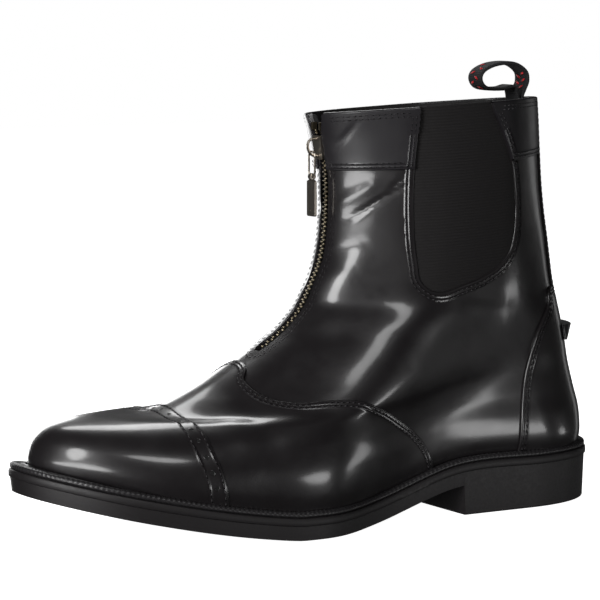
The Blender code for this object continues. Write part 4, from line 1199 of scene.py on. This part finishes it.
def make_sock():
    turn = sole_turns(160)
    u = turn / (2.0 * math.pi)
    base, normal, _ = skin(u, np.zeros(len(u)))
    foot = base - normal * (LEATHER + GAP)
    height = rim_height(foot[:, 1]) + GAP + INSOLE_THICKNESS
    count = len(u)
    verts = []
    for scale in (1.0, 0.6, 0.2, 0.0):
        verts.append(np.stack([foot[:, 0] * scale, foot[:, 1], height], 1))
    verts = np.concatenate(verts)
    faces = []
    for i in range(3):
        for j in range(count):
            k = (j + 1) % count
            faces.append((i * count + j, i * count + k, (i + 1) * count + k, (i + 1) * count + j))
    item = add_mesh("sock_liner", verts, faces, BOARD_LOOK)
    make_consistent(item)
    place(item, "insole_board", "root", "insole")


make_outsole()
make_welt()
make_sock()


# The zip and the pull loop

def front_point(x, z, lift):
    """Point in front of the zip's middle line, and the face's normal there."""
    v = np.linspace(0.3, 1.0, 400)
    line = last_point(np.full(len(v), 0.5), v)
    y = np.interp([z - MM, z, z + MM], line[:, 2], line[:, 1])
    slope = (y[2] - y[0]) / (2.0 * MM)
    normal = unit(np.array([0.0, -1.0, slope]))
    return np.array([x, y[1], z]) + normal * lift, normal


def make_teeth():
    """Single metal teeth: closed below the slider, apart above it."""
    pile = Pile()
    verts, faces = stitch_template(2.9 * MM, 1.15 * MM)
    middle = zip_middle()
    spots = []
    for k, z in enumerate(np.arange(SLIT_BOTTOM + 3.0 * MM, SLIDER_BOTTOM, 0.5 * TOOTH_PITCH)):
        side = 1.0 if k % 2 else -1.0
        spots.append((middle + side * 0.75 * MM, z))
    for z in (SLIDER_TOP + 0.8 * MM, SLIDER_TOP + 2.0 * MM):
        share = (z - SLIDER_TOP + 4.0 * MM) / (COLLAR_FRONT - SLIDER_TOP + 4.0 * MM)
        reach = TEETH_CORE + (SLIT_TOP_HALF - 2.0 * TEETH_CORE) * 0.8 * share
        spots += [(middle + reach, z), (middle - reach, z)]
    for x, z in spots:
        at, normal = front_point(x, z, -0.75 * MM)
        axes = np.stack([np.array([1.0, 0.0, 0.0]), np.cross(normal, [1.0, 0.0, 0.0]), normal])
        made = verts @ axes
        pile.add(at + made, faces, made)
    place(pile.build("zip_teeth_row", BRASS_LOOK), "brass", "root",
          "zip_teeth", "zip_teeth_open_outer", "zip_teeth_open_inner")


def loop_line(count):
    """Middle line of the pull loop, with its normals, as (y, z)."""
    rows = np.array(LOOP_PATH)
    share = np.arange(len(rows), dtype=float)
    fine = np.linspace(0.0, len(rows) - 1.0, count)
    u = np.linspace(0.0, 0.1, 30)
    base, normal, _ = skin(u, np.ones(30))
    edge = base - normal * LEATHER
    foot_y = np.interp(0.5 * LOOP_WIDTH, edge[:, 0], edge[:, 1]) - GAP - 0.5 * LOOP_THICKNESS
    line = np.stack([foot_y - hermite(share, rows[:, 0], fine) * LOOP_REACH,
                     COLLAR_BACK + hermite(share, rows[:, 1], fine) * LOOP_HEIGHT], 1)
    along = unit(np.gradient(line, axis=0))
    return fine, line, along, np.stack([-along[:, 1], along[:, 0]], 1)


def make_loop():
    """Woven webbing with cross ribs and soft edges, and small red dashes on it."""
    fine, line, along, normal = loop_line(420)
    reach = np.concatenate([[0.0], np.cumsum(np.linalg.norm(np.diff(line, axis=0), axis=1))])
    points = []
    facing = []
    for i in range(len(fine)):
        rib = 0.05 * MM * math.sin(2.0 * math.pi * reach[i] / (0.95 * MM))
        ring = []
        tilt = []
        for k in range(24):
            angle = 2.0 * math.pi * (k + 0.5) / 24
            c, w = math.cos(angle), math.sin(angle)
            across = 0.5 * LOOP_WIDTH * math.copysign(abs(c)**0.35, c)
            out = (0.5 * LOOP_THICKNESS + rib - 0.06 * MM) * math.copysign(abs(w)**0.6, w)
            ring.append((across, line[i, 0] + normal[i, 0] * out, line[i, 1] + normal[i, 1] * out))
            turn = unit(np.array([math.copysign(abs(c)**3.0, c), math.copysign(abs(w)**0.6, w)]))
            ripple = -0.3 * math.cos(2.0 * math.pi * reach[i] / (0.95 * MM))
            flat = turn[1] * normal[i] + abs(turn[1]) * ripple * along[i]
            tilt.append((turn[0], flat[0], flat[1]))
        points.append(ring)
        facing.append(tilt)
    pile = Pile()
    pile.grid(np.array(points), np.array(facing), closed=True)
    place(pile.build("loop_webbing", WEBBING_LOOK), "webbing", "root", "pull_loop")
    red = Pile()
    verts, faces = stitch_template(3.4 * MM, 1.1 * MM)
    for start, end, side in ((5.3, 7.6, 1.0), (10.2, 12.2, -1.0)):
        spots = np.linspace(start, end, 6)
        for k, spot in enumerate(spots):
            i = int(np.argmin(np.abs(fine - spot)))
            up = np.array([0.0, *normal[i]]) * side
            ahead = np.array([0.0, *along[i]])
            lead = unit(np.array([1.0, 0.0, 0.0]) + ahead * (0.5 if k % 2 else -0.5))
            axes = np.stack([lead, np.cross(up, lead), up * 0.35])
            made = verts @ axes
            x = -1.9 * MM if k % 2 else 1.9 * MM
            at = np.array([x, *line[i]]) + up * (0.5 * LOOP_THICKNESS + 0.06 * MM)
            red.add(at + made, faces, verts @ np.stack([lead, np.cross(up, lead), up]))
    place(red.build("loop_dashes", RED_LOOK), "webbing")


make_teeth()
make_loop()


# Pieces kept from the frame, with their own finish

def dress(nodes, look):
    for name in nodes:
        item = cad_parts[name]
        item.data.materials.clear()
        item.data.materials.append(look)


dress(["zip_tape_outer", "zip_tape_inner"], TAPE_LOOK)
dress(["zip_stop_outer", "zip_stop_inner"], BRASS_LOOK)
dress(["zip_slider", "zip_pull_link", "zip_pull_tab"], NICKEL_LOOK)
dress(["spur_rest"], WELT_LOOK)
place(STITCHES.build("stitching", THREAD_LOOK), "leather")


# Camera

CAMERA_AZIMUTH = math.radians(59.02)
CAMERA_PITCH = math.radians(6.54)
CAMERA_DISTANCE = 1.35
CAMERA_TARGET = (0.0, -0.0056, 0.1018)
FOCAL_PIXELS = 2932.6
PICTURE_PIXELS = 600.0
SENSOR = 36.0


def aim_camera():
    level = math.cos(CAMERA_PITCH)
    back = Vector((math.sin(CAMERA_AZIMUTH) * level, -math.cos(CAMERA_AZIMUTH) * level,
                   math.sin(CAMERA_PITCH)))
    data = bpy.data.cameras.new("camera")
    data.sensor_width = SENSOR
    data.lens = FOCAL_PIXELS / PICTURE_PIXELS * SENSOR
    data.clip_start = 0.05
    data.clip_end = 20.0
    item = bpy.data.objects.new("camera", data)
    bpy.context.scene.collection.objects.link(item)
    item.location = Vector(CAMERA_TARGET) + back * CAMERA_DISTANCE
    item.rotation_mode = 'QUATERNION'
    item.rotation_quaternion = (-back).to_track_quat('-Z', 'Y')
    bpy.context.scene.camera = item


aim_camera()


# Light

def area_light(name, azimuth, elevation, distance, size, size_y, power, aim=(0.0, 0.0, 0.08)):
    a = math.radians(azimuth)
    e = math.radians(elevation)
    way = Vector((math.sin(a) * math.cos(e), -math.cos(a) * math.cos(e), math.sin(e)))
    data = bpy.data.lights.new(name, 'AREA')
    data.shape = 'ELLIPSE'
    data.size = size
    data.size_y = size_y
    data.energy = power
    item = bpy.data.objects.new(name, data)
    bpy.context.scene.collection.objects.link(item)
    item.location = Vector(aim) + way * distance
    item.rotation_mode = 'QUATERNION'
    item.rotation_quaternion = (-way).to_track_quat('-Z', 'Y')
    return item


def light_scene():
    world = bpy.data.worlds.new("white")
    bpy.context.scene.world = world
    world.use_nodes = True
    tree = world.node_tree
    studio = tree.nodes["Background"]
    studio.inputs["Color"].default_value = (1.0, 1.0, 1.0, 1.0)
    studio.inputs["Strength"].default_value = 0.025
    white = tree.nodes.new("ShaderNodeBackground")
    white.inputs["Color"].default_value = (1.0, 1.0, 1.0, 1.0)
    white.inputs["Strength"].default_value = 1.0
    path = tree.nodes.new("ShaderNodeLightPath")
    mix = tree.nodes.new("ShaderNodeMixShader")
    tree.links.new(path.outputs["Is Camera Ray"], mix.inputs[0])
    tree.links.new(studio.outputs["Background"], mix.inputs[1])
    tree.links.new(white.outputs["Background"], mix.inputs[2])
    tree.links.new(mix.outputs["Shader"], tree.nodes["World Output"].inputs["Surface"])
    # name, azimuth, elevation, distance, width, height, power
    boxes = [
        ("key", 24.0, 22.0, 1.0, 0.30, 0.56, 7.0),
        ("panel", 24.0, -3.0, 1.0, 0.85, 0.20, 6.0),
        ("ankle", 74.0, 36.0, 1.0, 0.44, 0.24, 2.3),
        ("ball", 121.0, -13.0, 1.0, 0.38, 0.13, 1.2),
        ("wing", 159.0, -12.0, 1.0, 0.20, 0.12, 0.3),
        ("back", 198.0, -2.0, 1.0, 0.12, 0.60, 0.12),
        ("inner", 263.0, 3.0, 1.1, 0.50, 0.70, 4.0),
        ("inner_top", 250.0, 48.0, 1.1, 0.60, 0.40, 4.0),
    ]
    for box in boxes:
        area_light(*box)
    bpy.context.scene.view_settings.view_transform = 'Standard'


def make_floor():
    """Plain white floor; it doesn't light the boot or show in its gloss."""
    reach = 3.0
    turns = ((-1, -1), (1, -1), (1, 1), (-1, 1))
    corners = [(reach * x, reach * y, -0.3 * MM) for x, y in turns]
    material, _, shader = new_material("white_floor")
    shader.inputs["Base Color"].default_value = (0.9, 0.9, 0.9, 1.0)
    shader.inputs["Roughness"].default_value = 0.9
    shader.inputs["Emission Color"].default_value = (1.0, 1.0, 1.0, 1.0)
    shader.inputs["Emission Strength"].default_value = 1.0
    item = add_mesh("floor", corners, [(0, 1, 2, 3)], material, False)
    item.visible_diffuse = False
    item.visible_glossy = False
    item.visible_shadow = False


light_scene()
make_floor()
